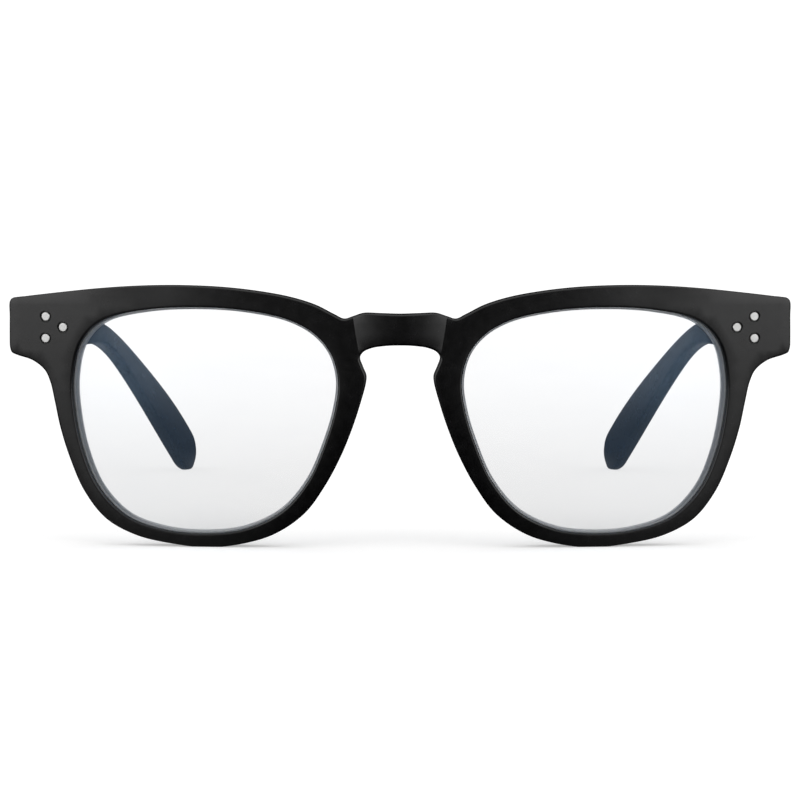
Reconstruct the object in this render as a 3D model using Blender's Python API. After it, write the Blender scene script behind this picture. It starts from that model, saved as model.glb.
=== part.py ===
"""Full-rim acetate spectacles with clear blue-light lenses, as separate solids.

Frame: +X is to the wearer's left (the viewer's right), the front faces -Y,
the temples run to +Y, +Z is up and z = 0 is the table the glasses stand on.
"left" in names is the -X side. Design dimensions are in millimetres.

Everything that comes in pairs, apart from the lenses, is designed on the +X
side and mirrored for the left.
"""
import math

import bpy
import bmesh
import numpy as np
from mathutils import Vector
from mathutils.geometry import delaunay_2d_cdt

MM = 0.001               # metres in a design millimetre
Y_ORIGIN = 69.75         # depth of the scene's origin behind the design plane y = 0

# ----------------------------------------------------------------- front
RIM_THICK = 4.2          # acetate sheet, front to back
FRONT_ROUND = 0.40       # polished edges
BACK_ROUND = 0.40
# face form of the bent sheet: (distance from the middle, slope backward)
FACE_FORM = [(0.0, 0.0), (9.0, 0.008), (28.0, 0.050), (59.0, 0.215)]
FORM_AHEAD = 1.45        # middle of the sheet ahead of the design plane y = 0
LENS_X = 35.0            # lens centre, distance from the middle
ROLL_R = 220.0           # vertical curve
ROLL_Z = 22.9            # height of the lens centres
ROLL_FADE = (43.0, 18.0)  # the vertical curve fades out from here, over this width
END_X = FACE_FORM[-1][0]  # the end piece is flat beyond this
CREASE_SLOPE = 0.22      # facet of the bridge where it meets the rims
CREASE_TOP = (8.6, 42.25)
CREASE_LOW = (7.3, 34.75)

# half of the outer outline (x, z), from the top of the bridge round the end
# piece and the rim to the underside of the bridge
OUTLINE = [
    (0.0, 42.7), (3.55, 42.8), (6.65, 42.85), (8.6, 42.25), (10.25, 41.8),
    (12.15, 42.65), (15.45, 44.3), (19.95, 45.7), (25.95, 46.8), (32.95, 47.55),
    (41.0, 47.85), (49.0, 47.7), (56.95, 47.15), (63.9, 46.4), (69.55, 45.7),
    (71.45, 45.4), (71.95, 44.75), (72.0, 42.0), (72.05, 38.5), (72.0, 36.35),
    (71.65, 35.4), (70.65, 34.9), (67.7, 33.95), (65.45, 32.2), (64.4, 29.95),
    (63.65, 26.65), (62.6, 21.65), (60.85, 16.05), (58.2, 10.05), (54.15, 5.0),
    (48.4, 1.95), (41.5, 0.45), (35.5, -0.13), (29.45, 0.5), (23.1, 2.4),
    (17.45, 6.3), (13.75, 11.3), (10.75, 16.9), (8.65, 22.05), (7.25, 26.3),
    (6.2, 30.2), (6.15, 31.5), (6.75, 33.0), (7.3, 34.75), (6.7, 35.85),
    (5.15, 36.6), (2.6, 37.0), (0.0, 37.1),
]
# lens opening of the +X rim (x, z)
OPENING = [
    (35.95, 43.9), (27.4, 43.25), (20.1, 41.6), (15.5, 39.05), (12.55, 35.45),
    (11.3, 30.6), (11.85, 25.45), (13.75, 19.15), (16.8, 12.3), (21.6, 6.7),
    (28.3, 3.4), (35.95, 2.45), (43.6, 3.1), (50.35, 5.5), (55.4, 10.55),
    (58.3, 17.05), (59.85, 24.35), (60.15, 31.0), (58.6, 37.4), (54.7, 41.35),
    (46.5, 43.4),
]
GROOVE_DEPTH = 1.0
GROOVE_MID = RIM_THICK / 2
GROOVE_HALF = 0.9

# mesh density: longest step, most degrees turned per step, pitch of face points
OUTER_STEP, OUTER_TURN = 4.8, 19.0
HOLE_STEP, HOLE_TURN = 4.8, 17.0
FRONT_PITCH = 5.4
FRONT_ROUND_SEGS = 2
BACK_ROUND_SEGS = 1
LENS_STEP, LENS_TURN = 5.5, 16.0
LENS_PITCH = 8.5

# ---------------------------------------------------------------- lenses
LENS_HALF = 1.0          # half the lens thickness
LENS_FRONT = GROOVE_MID - LENS_HALF   # depth of the lens faces below the rim's front
LENS_BACK = GROOVE_MID + LENS_HALF
LENS_LAND = 0.25         # straight edge between a face and the bevel
LENS_REACH = 0.75        # bevel tip into the rim
LENS_EASE = 0.15         # clearance between lens face edge and rim

# ------------------------------------------------------------- nose pads
# centre line (x, z), from the bottom up
PAD_PATH = [(13.3, 15.2), (11.5, 19.2), (10.2, 23.2), (9.2, 27.2), (8.75, 31.2)]
# section (across as a share of the half width, height as a share of PAD_PROUD)
PAD_SECTION = [(-1.0, 0.0), (-1.0, 0.35), (-0.78, 0.78), (-0.3, 1.0), (0.35, 0.98),
               (0.82, 0.72), (1.0, 0.32), (1.0, 0.0)]
PAD_STATIONS = 10
PAD_PROUD = 4.6
PAD_HALF = 1.55
PAD_LEAN = 0.24          # sideways shift per unit of height
PAD_ORIGIN = (11.0, 6.0, 23.0)
BOND = 0.12              # glue line

# ---------------------------------------------------------------- hinges
HINGE_X = 67.5           # pivot line
HINGE_Z = 40.15          # middle of the knuckle stack
HINGE_OFF = 2.2          # pivot behind the back of the end piece
KNUCKLES = 5
KNUCKLE_R = 1.35
KNUCKLE_H = 1.40
KNUCKLE_GAP = 0.10
KNUCKLE_SEGS = 14
PLATE = 0.80             # leaf thickness
PLATE_GAP = 0.10         # between the front leaf and the end piece
PLATE_START = KNUCKLE_R + 0.15   # nearest plate edge to the pivot line
STRAP_INSET = 0.04       # strap faces inside the barrel's or the leaf's faces
FRONT_STRAP_LOW = 0.62   # side of the front straps nearer the pivot line
FRONT_STRAP_OVERLAP = 0.55   # strap length over its plate
TEMPLE_STRAP_OVERLAP = 0.5
PIN_R = 0.62
PIN_HOLE_R = 0.70
PIN_HOLE_HALF = 6.0      # reaches past both ends of the knuckle stack
HEAD_R = 1.10
HEAD_H = 0.48
SLOT_HALF_WIDTH = 0.16
SLOT_HALF_LENGTH = 2.0
SLOT_DEPTH = 0.24
RIVET_R = 0.81
RIVET_HOLE_R = 0.91
RIVET_RECESS_R = 1.05
RIVET_RECESS = 0.32
RIVETS = {"upper": (65.1, 42.05), "lower": (65.15, 38.05), "inner": (61.85, 40.1)}  # x, z
OVERCUT = 1.0            # how far the rivet holes run past the surfaces

# --------------------------------------------------------------- temples
TEMPLE_X = 69.1          # middle of the temple at the hinge
TEMPLE_Z = 40.1
TEMPLE_AHEAD = 1.0       # the path starts ahead of the pivot line
TEMPLE_END_GAP = 0.25    # butt joint to the end piece, open
BEND_AT = (65.15, 98.0, 34.0)   # middle of the temple where it turns down
BEND_LEN = 29.0
TAIL_LEN = 55.6
TAIL_DOWN = (32.4, 40.1)        # degrees, after the bend and at the tip
TAIL_IN = (22.1, 19.0)
HINGE_HEIGHT = 9.9
BEND_HEIGHT = 4.8
PADDLE_HEIGHT = 9.1
TEMPLE_NARROW = 0.82            # share of the straight run over which the height tapers
TIP_LEN = PADDLE_HEIGHT * 0.75  # length of the rounded tip
HINGE_THICK = 3.8
TIP_THICK = 2.8
SECTION_ROUND = 1.05     # largest edge radius of the section
SECTION_SEGS = 2
RELIEF_R = 1.60          # clearance round the knuckles
WIRE_R = 0.45
WIRE_HOLE_R = 0.60
WIRE_START = 1.2         # along the temple path
WIRE_END_GAP = 9.6       # short of the tip
WIRE_HOLE_START = -1.5
WIRE_HOLE_END_GAP = 9.0
WIRE_STEPS = 30
WIRE_OUT, WIRE_DOWN = 0.95, 2.15   # offset at the hinge, where it dodges the rivets
WIRE_FADE = 30.0         # length over which that offset dies out

# temple leaf, measured from the pivot line: across (+ outward) and backward
TEMPLE_FACE = TEMPLE_X - HINGE_THICK / 2 - HINGE_X   # inner face of the temple
TEMPLE_LEAF_IN = TEMPLE_FACE + 0.08
TEMPLE_LEAF_OUT = TEMPLE_LEAF_IN + PLATE
TEMPLE_LEAF_END = 9.0
TEMPLE_RIVETS = {"front": 4.0, "rear": 7.4}   # backward from the pivot line
TEMPLE_RIVET_R = 0.70
TEMPLE_RIVET_HOLE_R = 0.80
TEMPLE_RECESS_R = 0.93
TEMPLE_RECESS = 0.30

# ------------------------------------------------------------- materials
BLACK = (0.012, 0.012, 0.013)
HINGE_STEEL = (0.62, 0.62, 0.60)
RIVET_STEEL = (0.80, 0.80, 0.79)
FINISHES = {
    "front_acetate": dict(colour=BLACK, roughness=0.34),
    "temple_acetate": dict(colour=BLACK, roughness=0.34),
    "pad_acetate": dict(colour=BLACK, roughness=0.30),
    "lens_resin": dict(colour=(0.78, 0.86, 0.95), roughness=0.03, alpha=0.25, ior=1.56),
    "front_leaf_nickel_silver": dict(colour=HINGE_STEEL, roughness=0.30, metallic=1.0),
    "temple_leaf_nickel_silver": dict(colour=HINGE_STEEL, roughness=0.30, metallic=1.0),
    "front_rivet_steel": dict(colour=RIVET_STEEL, roughness=0.28, metallic=1.0),
    "temple_rivet_steel": dict(colour=RIVET_STEEL, roughness=0.28, metallic=1.0),
    "screw_steel": dict(colour=(0.66, 0.66, 0.65), roughness=0.25, metallic=1.0),
    "wire_nickel_silver": dict(colour=(0.58, 0.57, 0.54), roughness=0.35, metallic=1.0),
}


def principled(name, colour, roughness, metallic=0.0, alpha=1.0, ior=1.5):
    mat = bpy.data.materials.new(name)
    mat.use_nodes = True
    inputs = mat.node_tree.nodes["Principled BSDF"].inputs
    inputs["Base Color"].default_value = (*colour, 1.0)
    inputs["Roughness"].default_value = roughness
    inputs["Metallic"].default_value = metallic
    inputs["IOR"].default_value = ior
    inputs["Alpha"].default_value = alpha
    return mat


# ===================================================================
# curves
# ===================================================================
MIRROR = np.array([-1, 1])


def smooth(t):
    t = min(1.0, max(0.0, t))
    return t * t * (3 - 2 * t)


def blend(p, q, low, high, t):
    return (high - t) / (high - low) * p + (t - low) / (high - low) * q


def catmull(points, closed, samples=40):
    """Centripetal Catmull-Rom curve through the points, sampled densely.

    An open curve is led in and out by the mirror images of its second and
    last but one points.
    """
    points = [np.array(p, float) for p in points]
    if closed:
        knots = [points[-1], *points, points[0], points[1]]
    else:
        knots = [points[1] * MIRROR, *points, points[-2] * MIRROR]
    out = []
    for a, b, c, d in zip(knots, knots[1:], knots[2:], knots[3:]):
        t0 = 0.0
        t1 = t0 + math.sqrt(np.linalg.norm(b - a))
        t2 = t1 + math.sqrt(np.linalg.norm(c - b))
        t3 = t2 + math.sqrt(np.linalg.norm(d - c))
        for k in range(samples):
            t = t1 + (t2 - t1) * k / samples
            before = blend(a, b, t0, t1, t)
            middle = blend(b, c, t1, t2, t)
            after = blend(c, d, t2, t3, t)
            out.append(blend(blend(before, middle, t0, t2, t),
                             blend(middle, after, t1, t3, t), t1, t2, t))
    if not closed:
        out.append(knots[-2])
    return np.array(out)


def graded(curve, closed, step, turn):
    """Resample: fewer points on the straights, more round the corners."""
    path = np.vstack([curve, curve[:1]]) if closed else curve
    delta = np.diff(path, axis=0)
    heading = np.unwrap(np.arctan2(delta[:, 1], delta[:, 0]))
    bend = np.abs(np.diff(heading))
    cost = np.hypot(delta[:, 0], delta[:, 1]) / step
    cost[1:] += 0.5 * bend / math.radians(turn)
    cost[:-1] += 0.5 * bend / math.radians(turn)
    total = np.concatenate([[0.0], np.cumsum(cost)])
    count = max(8 if closed else 1, int(round(total[-1])))
    t = np.linspace(0, total[-1], count + 1)
    points = np.stack([np.interp(t, total, path[:, 0]), np.interp(t, total, path[:, 1])], 1)
    return points[:-1] if closed else points


def outer_loop():
    """Outline, counter-clockwise seen from the front, and its crease ends.

    The crease ends are (top, low) vertex indices for each side.
    """
    half = catmull(OUTLINE, False)
    half[:, 1] = np.maximum(half[:, 1], 0.0)

    def nearest(point):
        return int(np.argmin(np.hypot(half[:, 0] - point[0], half[:, 1] - point[1])))

    # break the run at the crease ends and the flat foot, so each is a vertex
    foot = np.flatnonzero(half[:, 1] <= 0.0)
    breaks = [0, nearest(CREASE_TOP), int(foot[0]), int(foot[-1]), nearest(CREASE_LOW),
              len(half) - 1]
    runs = [graded(half[a:b + 1], False, OUTER_STEP, OUTER_TURN)
            for a, b in zip(breaks, breaks[1:])]
    right = np.vstack([run[:-1] for run in runs[:-1]] + [runs[-1]])
    top = len(runs[0]) - 1
    low = sum(len(run) - 1 for run in runs[:4])
    left = right[1:-1] * MIRROR
    loop = np.vstack([right, left[::-1]])[::-1]
    last = len(loop) - 1
    return loop, [(last - top, last - low), (top - 1, low - 1)]


def opening_loop(step, turn, sign):
    """Lens opening, counter-clockwise seen from the front."""
    loop = graded(catmull(OPENING, True), True, step, turn)
    x, z = loop[:, 0], loop[:, 1]
    area = 0.5 * np.sum(x * np.roll(z, -1) - np.roll(x, -1) * z)
    if area < 0:
        loop = loop[::-1]
    if sign < 0:
        loop = (loop * MIRROR)[::-1]
    return loop


def offset(loop, distance):
    """Move a counter-clockwise loop outward (a negative distance goes inward)."""
    back = loop - np.roll(loop, 1, axis=0)
    ahead = np.roll(loop, -1, axis=0) - loop
    normals = [np.stack([e[:, 1], -e[:, 0]], 1) / np.hypot(e[:, 0], e[:, 1])[:, None]
               for e in (back, ahead)]
    mitre = normals[0] + normals[1]
    mitre /= np.maximum(0.5, 0.5 * np.sum(mitre * mitre, axis=1))[:, None]
    return loop + distance * mitre


def inside(points, loop):
    x, y = points[:, 0][:, None], points[:, 1][:, None]
    x0, y0 = loop[:, 0], loop[:, 1]
    x1, y1 = np.roll(x0, -1), np.roll(y0, -1)
    spans = (y0 > y) != (y1 > y)
    rise = np.where(y1 == y0, 1.0, y1 - y0)
    return (np.sum(spans & (x < (x1 - x0) * (y - y0) / rise + x0), axis=1) % 2) == 1


def between(points, loops):
    """Which points are inside the first loop and outside the others."""
    keep = inside(points, loops[0])
    for hole in loops[1:]:
        keep &= ~inside(points, hole)
    return keep


def distance_to(points, loop):
    edge = np.roll(loop, -1, axis=0) - loop
    t = np.clip(((points[:, None, :] - loop) * edge).sum(2) / (edge * edge).sum(1), 0, 1)
    foot = loop + t[..., None] * edge
    return np.sqrt(((points[:, None, :] - foot) ** 2).sum(2)).min(1)


# ===================================================================
# the bent sheet
# ===================================================================
def sheet(x):
    """Depth of the bent sheet's front at the height of the lens centres."""
    distance, y = abs(x), -FORM_AHEAD
    for (x0, slope0), (x1, slope1) in zip(FACE_FORM, FACE_FORM[1:]):
        if distance <= x0:
            break
        t = min(distance, x1) - x0
        y += slope0 * t + (slope1 - slope0) * t * t / (2 * (x1 - x0))
    return y + max(0.0, distance - FACE_FORM[-1][0]) * FACE_FORM[-1][1]


def sheet_slope(x):
    slope = float(np.interp(abs(x), [p[0] for p in FACE_FORM], [p[1] for p in FACE_FORM]))
    return math.copysign(slope, x)


def roll(x, z):
    """Setback from the vertical curve; constant over the end piece."""
    fade = smooth((abs(x) - ROLL_FADE[0]) / ROLL_FADE[1])
    return ((z - ROLL_Z) ** 2 * (1 - fade) + (HINGE_Z - ROLL_Z) ** 2 * fade) / (2 * ROLL_R)


def crease_x(z):
    t = (z - CREASE_LOW[1]) / (CREASE_TOP[1] - CREASE_LOW[1])
    return CREASE_LOW[0] + t * (CREASE_TOP[0] - CREASE_LOW[0])


def bulge(x, z):
    """How far the bridge stands forward of the sheet, between the creases."""
    edge = crease_x(z)
    if abs(x) >= edge or z < CREASE_LOW[1] - 1.0:
        return 0.0
    t = (edge - abs(x)) / edge
    return CREASE_SLOPE * edge * (t - t * t / 2)


def place(x, z, depth):
    """Point at a depth behind the front surface of the bent sheet."""
    slope = sheet_slope(x)
    length = math.sqrt(1 + slope * slope)
    forward = bulge(x, z) * max(0.0, 1 - depth / RIM_THICK)
    return (x - depth * slope / length, sheet(x) + roll(x, z) + depth / length - forward, z)


# slope of the end piece, and the pivot line's place behind its back
END_SLOPE = sheet_slope(END_X)
END_COS = 1 / math.sqrt(1 + END_SLOPE ** 2)
END_SIN = END_SLOPE * END_COS
END_BACK_POINT = place(66.0, HINGE_Z, RIM_THICK)
END_BACK_DEPTH = -END_BACK_POINT[0] * END_SIN + END_BACK_POINT[1] * END_COS
HINGE_Y = (END_BACK_DEPTH + HINGE_OFF + HINGE_X * END_SIN) / END_COS
PIVOT = (HINGE_X, HINGE_Y, HINGE_Z)


def end_frame(out, back, z):
    """From the pivot: outward along the end piece, backward square to it, up."""
    return (HINGE_X + out * END_COS - back * END_SIN,
            HINGE_Y + out * END_SIN + back * END_COS, HINGE_Z + z)


def hinge_frame(x, y, z):
    """From the pivot, along the main axes."""
    return (HINGE_X + x, HINGE_Y + y, HINGE_Z + z)


# ===================================================================
# objects
# ===================================================================
def add(name, shape, mat=None, origin=(0, 0, 0), parent=None):
    """Object from (vertices, faces); vertices and origin in design millimetres."""
    verts, faces = shape
    origin = Vector(origin)
    mesh = bpy.data.meshes.new(name)
    mesh.from_pydata([(Vector(v) - origin) * MM for v in verts], [], faces)
    mesh.validate()
    bm = bmesh.new()
    bm.from_mesh(mesh)
    bmesh.ops.recalc_face_normals(bm, faces=bm.faces)
    bm.to_mesh(mesh)
    bm.free()
    mesh.shade_smooth()
    mesh.set_sharp_from_angle(angle=math.radians(30))
    if mat is not None:
        mesh.materials.append(mat)
    obj = bpy.data.objects.new(name, mesh)
    bpy.context.scene.collection.objects.link(obj)
    location = Vector((origin.x, origin.y - Y_ORIGIN, origin.z)) * MM
    if parent is not None:
        obj.parent = parent
        location = location - parent.location
    obj.location = location
    return obj


def boolean(obj, cutter, operation="DIFFERENCE"):
    name = operation.lower() + "_" + cutter.name.removeprefix("cut_")
    mod = obj.modifiers.new(name, "BOOLEAN")
    mod.operation = operation
    mod.solver = "EXACT"
    mod.object = cutter


class Side:
    """One side of the glasses: mirrors +X designs and names what it makes."""

    def __init__(self, sign, tag):
        self.sign = sign
        self.tag = tag
        self.pivot = bpy.data.objects.new(tag + "_temple_pivot", None)
        bpy.context.scene.collection.objects.link(self.pivot)
        self.pivot.location = Vector((sign * HINGE_X, HINGE_Y - Y_ORIGIN, HINGE_Z)) * MM

    def material(self, finish):
        return principled(f"{self.tag}_{finish}", **FINISHES[finish])

    def piece(self, name, shape, mat=None, origin=PIVOT, folds=False, prefix=""):
        """A piece that folds is parented to the temple pivot."""
        verts, faces = shape
        verts = [(v[0] * self.sign, v[1], v[2]) for v in verts]
        origin = (self.sign * origin[0], origin[1], origin[2])
        return add(f"{prefix}{self.tag}_{name}", (verts, faces), mat, origin,
                   self.pivot if folds else None)

    def cutter(self, name, shape, origin=PIVOT, folds=False):
        obj = self.piece(name, shape, None, origin, folds, prefix="cut_")
        obj.hide_render = True
        obj.display_type = "WIRE"
        return obj


# ===================================================================
# shapes: each gives (vertices, faces)
# ===================================================================
def band_faces(rings, size, along_first=False, start=0):
    """Quads joining successive rings; along_first sets which way they wind."""
    faces = []
    for ring in range(rings - 1):
        p = start + ring * size
        q = p + size
        for i in range(size):
            j = (i + 1) % size
            if along_first:
                faces.append((p + i, q + i, q + j, p + j))
            else:
                faces.append((p + i, p + j, q + j, q + i))
    return faces


def end_faces(rings, size, along_first=False):
    """Polygons closing the first and the last ring."""
    first = tuple(range(size))
    last = tuple(range((rings - 1) * size, rings * size))
    return [first, last[::-1]] if along_first else [first[::-1], last]


def prism(outline, frame, low, high):
    """Extrude a polygon along the third coordinate of the frame function."""
    verts = [frame(p[0], p[1], level) for level in (low, high) for p in outline]
    size = len(outline)
    return verts, end_faces(2, size) + band_faces(2, size)


def lathe(profile, frame, segs):
    """Turn (radius, depth) stations about an axis; both ends close on the axis."""
    verts, faces, rings = [], [], []
    for radius, depth in profile:
        if radius < 1e-6:
            rings.append([len(verts)])
            verts.append(frame(0.0, 0.0, depth))
            continue
        rings.append(list(range(len(verts), len(verts) + segs)))
        for k in range(segs):
            angle = 2 * math.pi * (k + 0.5) / segs
            verts.append(frame(radius * math.cos(angle), radius * math.sin(angle), depth))
    for p, q in zip(rings, rings[1:]):
        for i in range(segs):
            j = (i + 1) % segs
            if len(p) == 1:
                faces.append((p[0], q[j], q[i]))
            elif len(q) == 1:
                faces.append((p[i], p[j], q[0]))
            else:
                faces.append((p[i], p[j], q[j], q[i]))
    return verts, faces


def grid_points(loops, pitch):
    """Staggered points between the loops, clear of their edges."""
    low, high = loops[0].min(0), loops[0].max(0)
    columns = int((high[0] - low[0]) / pitch / 2) + 2
    rows = int((high[1] - low[1]) / (pitch * 0.87)) + 2
    middle = 0.5 * (low[0] + high[0])
    points = np.array([
        (middle + (i + 0.5 * (j % 2)) * pitch, low[1] + (j + 0.5) * pitch * 0.87)
        for j in range(rows + 1) for i in range(-columns, columns + 1)])
    points = points[between(points, loops)]
    for loop in loops:
        points = points[distance_to(points, loop) > 0.42 * pitch]
    return points


def cap_triangles(loops, extra, creases):
    """Triangles between the first loop (outer) and the others (holes)."""
    points = np.vstack([*loops, extra])
    edges, base = [], 0
    for loop in loops:
        size = len(loop)
        edges += [(base + i, base + (i + 1) % size) for i in range(size)]
        base += size
    edges += creases
    vectors = [Vector((float(p[0]), float(p[1]))) for p in points]
    result = delaunay_2d_cdt(vectors, edges, [], 0, 1e-6, True)
    source = [ids[0] for ids in result[3]]
    triangles = np.array([[source[i] for i in face] for face in result[2]])
    keep = between(points[triangles].mean(axis=1), loops)
    return [tuple(int(i) for i in t) for t in triangles[keep]]


def add_wall(verts, faces, loop, stations, outward):
    """Wall of (inset into the material, depth) stations round a loop.

    outward is -1 for an outer edge and 1 for a hole. Returns the first and
    last rings as (first vertex, loop).
    """
    start, size = len(verts), len(loop)
    rings = []
    for inset, depth in stations:
        ring = offset(loop, outward * inset)
        rings.append((len(verts), ring))
        verts.extend(place(p[0], p[1], depth) for p in ring)
    faces += band_faces(len(stations), size, outward < 0, start)
    return rings[0], rings[-1]


def add_cap(verts, faces, rings, depth, pitch, crease_ends=(), reverse=False):
    """Triangulated face of the bent sheet between rings at one depth."""
    loops = [loop for _, loop in rings]
    outer = loops[0]
    rim_count = sum(len(loop) for loop in loops)
    extra = grid_points(loops, pitch)
    # keep the creases free of stray points, then join their ends
    for top, low in crease_ends:
        extra = extra[distance_to(extra, outer[[top, low]]) > 0.35 * pitch]
    creases = []
    for top, low in crease_ends:
        span = outer[low] - outer[top]
        count = max(2, int(np.linalg.norm(span) / pitch) + 1)
        mids = np.array([outer[top] + span * k / count for k in range(1, count)])
        mids[:, 0] = np.sign(outer[top][0]) * crease_x(mids[:, 1])
        start = rim_count + len(extra)
        extra = np.vstack([extra, mids])
        chain = [top, *range(start, start + len(mids)), low]
        creases += list(zip(chain, chain[1:]))
    index = [start + i for start, loop in rings for i in range(len(loop))]
    index += range(len(verts), len(verts) + len(extra))
    verts.extend(place(p[0], p[1], depth) for p in extra)
    for triangle in cap_triangles(loops, extra, creases):
        face = tuple(index[i] for i in triangle)
        faces.append(face[::-1] if reverse else face)


# ===================================================================
# front frame, lenses, nose pads
# ===================================================================
def round_stations(radius, segs, depth, direction):
    """(inset, depth) stations of a quarter round, from the face to the wall."""
    angles = [0.5 * math.pi * k / segs for k in range(segs + 1)]
    return [(radius * (1 - math.sin(a)), depth + direction * radius * (1 - math.cos(a)))
            for a in angles]


def front_mesh():
    front = round_stations(FRONT_ROUND, FRONT_ROUND_SEGS, 0.0, 1)
    back = round_stations(BACK_ROUND, BACK_ROUND_SEGS, RIM_THICK, -1)[::-1]
    groove = [(0.0, GROOVE_MID - GROOVE_HALF), (GROOVE_DEPTH, GROOVE_MID),
              (0.0, GROOVE_MID + GROOVE_HALF)]
    outer, crease_ends = outer_loop()
    verts, faces = [], []
    walls = [add_wall(verts, faces, outer, front + back, -1)]
    for sign in (-1, 1):
        hole = opening_loop(HOLE_STEP, HOLE_TURN, sign)
        walls.append(add_wall(verts, faces, hole, front + groove + back, 1))
    front_rings, back_rings = zip(*walls)
    add_cap(verts, faces, front_rings, 0.0, FRONT_PITCH, crease_ends)
    add_cap(verts, faces, back_rings, RIM_THICK, FRONT_PITCH, reverse=True)
    return verts, faces


def lens_mesh(sign):
    stations = [(LENS_EASE, LENS_FRONT), (LENS_EASE, LENS_FRONT + LENS_LAND),
                (-LENS_REACH, GROOVE_MID),
                (LENS_EASE, LENS_BACK - LENS_LAND), (LENS_EASE, LENS_BACK)]
    verts, faces = [], []
    loop = opening_loop(LENS_STEP, LENS_TURN, sign)
    first, last = add_wall(verts, faces, loop, stations, -1)
    add_cap(verts, faces, [first], LENS_FRONT, LENS_PITCH)
    add_cap(verts, faces, [last], LENS_BACK, LENS_PITCH, reverse=True)
    return verts, faces


def build_lens(side):
    add(side.tag + "_lens", lens_mesh(side.sign), side.material("lens_resin"),
        (side.sign * LENS_X, 0.0, ROLL_Z))


def pad_mesh():
    path = catmull(PAD_PATH, False, 20)[:-1]
    run = np.concatenate([[0], np.cumsum(np.hypot(*np.diff(path, axis=0).T))])

    def path_point(t):
        return np.array([np.interp(t * run[-1], run, path[:, i]) for i in (0, 1)])

    verts = []
    for k in range(PAD_STATIONS + 1):
        t = k / PAD_STATIONS
        centre = path_point(t)
        chord = path_point(min(1, t + 0.02)) - path_point(max(0, t - 0.02))
        tangent = chord / np.linalg.norm(chord)
        across = np.array([tangent[1], -tangent[0]])
        bell = max(0.0, math.sin(math.pi * (0.04 + 0.92 * t))) ** 0.65
        half, proud = PAD_HALF * (0.45 + 0.55 * bell), PAD_PROUD * bell
        for width, height in PAD_SECTION:
            p = centre + across * (width * half + PAD_LEAN * height * proud)
            verts.append(place(p[0], p[1], RIM_THICK + BOND + height * proud))
    rings, size = PAD_STATIONS + 1, len(PAD_SECTION)
    return verts, band_faces(rings, size) + end_faces(rings, size)


def build_nose_pad(side):
    side.piece("nose_pad", pad_mesh(), side.material("pad_acetate"), PAD_ORIGIN)


# ===================================================================
# temples
# ===================================================================
TEMPLE_Y = HINGE_Y - TEMPLE_AHEAD
PATH_START = np.array([TEMPLE_X, TEMPLE_Y, TEMPLE_Z])
STRAIGHT_VECTOR = np.array(BEND_AT) - PATH_START
STRAIGHT = float(np.linalg.norm(STRAIGHT_VECTOR))
TEMPLE_LEN = STRAIGHT + TAIL_LEN


def temple_path(samples=600):
    """Middle line: distance along it, points, directions and inward angles."""
    ahead = STRAIGHT_VECTOR / STRAIGHT
    down0 = math.degrees(math.atan2(-ahead[2], math.hypot(ahead[0], ahead[1])))
    in0 = math.degrees(math.atan2(-ahead[0], ahead[1]))
    run = np.linspace(0, TEMPLE_LEN, samples)
    bent = np.array([smooth((s - (STRAIGHT - BEND_LEN / 2)) / BEND_LEN) for s in run])
    tail = np.clip((run - STRAIGHT) / TAIL_LEN, 0, 1)
    down = np.radians(down0 + (TAIL_DOWN[0] - down0) * bent + (TAIL_DOWN[1] - TAIL_DOWN[0]) * tail)
    inward = np.radians(in0 + (TAIL_IN[0] - in0) * bent + (TAIL_IN[1] - TAIL_IN[0]) * tail)
    tangents = np.stack([-np.sin(inward) * np.cos(down), np.cos(inward) * np.cos(down),
                         -np.sin(down)], 1)
    step = run[1] - run[0]
    moves = np.cumsum(0.5 * (tangents[1:] + tangents[:-1]) * step, 0)
    return run, PATH_START + np.vstack([[0, 0, 0], moves]), tangents, inward


PATH_RUN, PATH_POINTS, PATH_TANGENTS, PATH_INWARD = temple_path()


def temple_at(along):
    """Centre, tangent, outward and up directions at a distance along the temple."""
    centre = np.array([np.interp(along, PATH_RUN, PATH_POINTS[:, k]) for k in range(3)])
    tangent = np.array([np.interp(along, PATH_RUN, PATH_TANGENTS[:, k]) for k in range(3)])
    tangent /= np.linalg.norm(tangent)
    angle = np.interp(along, PATH_RUN, PATH_INWARD)
    outward = np.array([math.cos(angle), math.sin(angle), 0.0])
    up = np.cross(outward, tangent)
    up *= math.copysign(1, up[2])
    return centre, tangent, outward, up


def temple_size(along):
    """Height and thickness of the section."""
    if along < STRAIGHT:
        t = min(1.0, along / (TEMPLE_NARROW * STRAIGHT))
        height = HINGE_HEIGHT + (BEND_HEIGHT - HINGE_HEIGHT) * t
    else:
        t = smooth((along - STRAIGHT) / (TAIL_LEN - 10))
        height = BEND_HEIGHT + (PADDLE_HEIGHT - BEND_HEIGHT) * t
    thick = HINGE_THICK + (TIP_THICK - HINGE_THICK) * along / TEMPLE_LEN
    into_tip = min(0.9975, max(0.0, (along - (TEMPLE_LEN - TIP_LEN)) / TIP_LEN))
    narrow = math.sqrt(1 - into_tip * into_tip)
    return height * narrow, thick * (0.30 + 0.70 * narrow)


def section(height, thick):
    """Rounded rectangle (outward, up), counter-clockwise."""
    radius = min(SECTION_ROUND, 0.42 * thick, 0.48 * height)
    points = []
    for x, z, start in ((1, 1, 0), (-1, 1, 90), (-1, -1, 180), (1, -1, 270)):
        for k in range(SECTION_SEGS + 1):
            angle = math.radians(start + 90 * k / SECTION_SEGS)
            points.append((x * (thick / 2 - radius) + radius * math.cos(angle),
                           z * (height / 2 - radius) + radius * math.sin(angle)))
    return points


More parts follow.
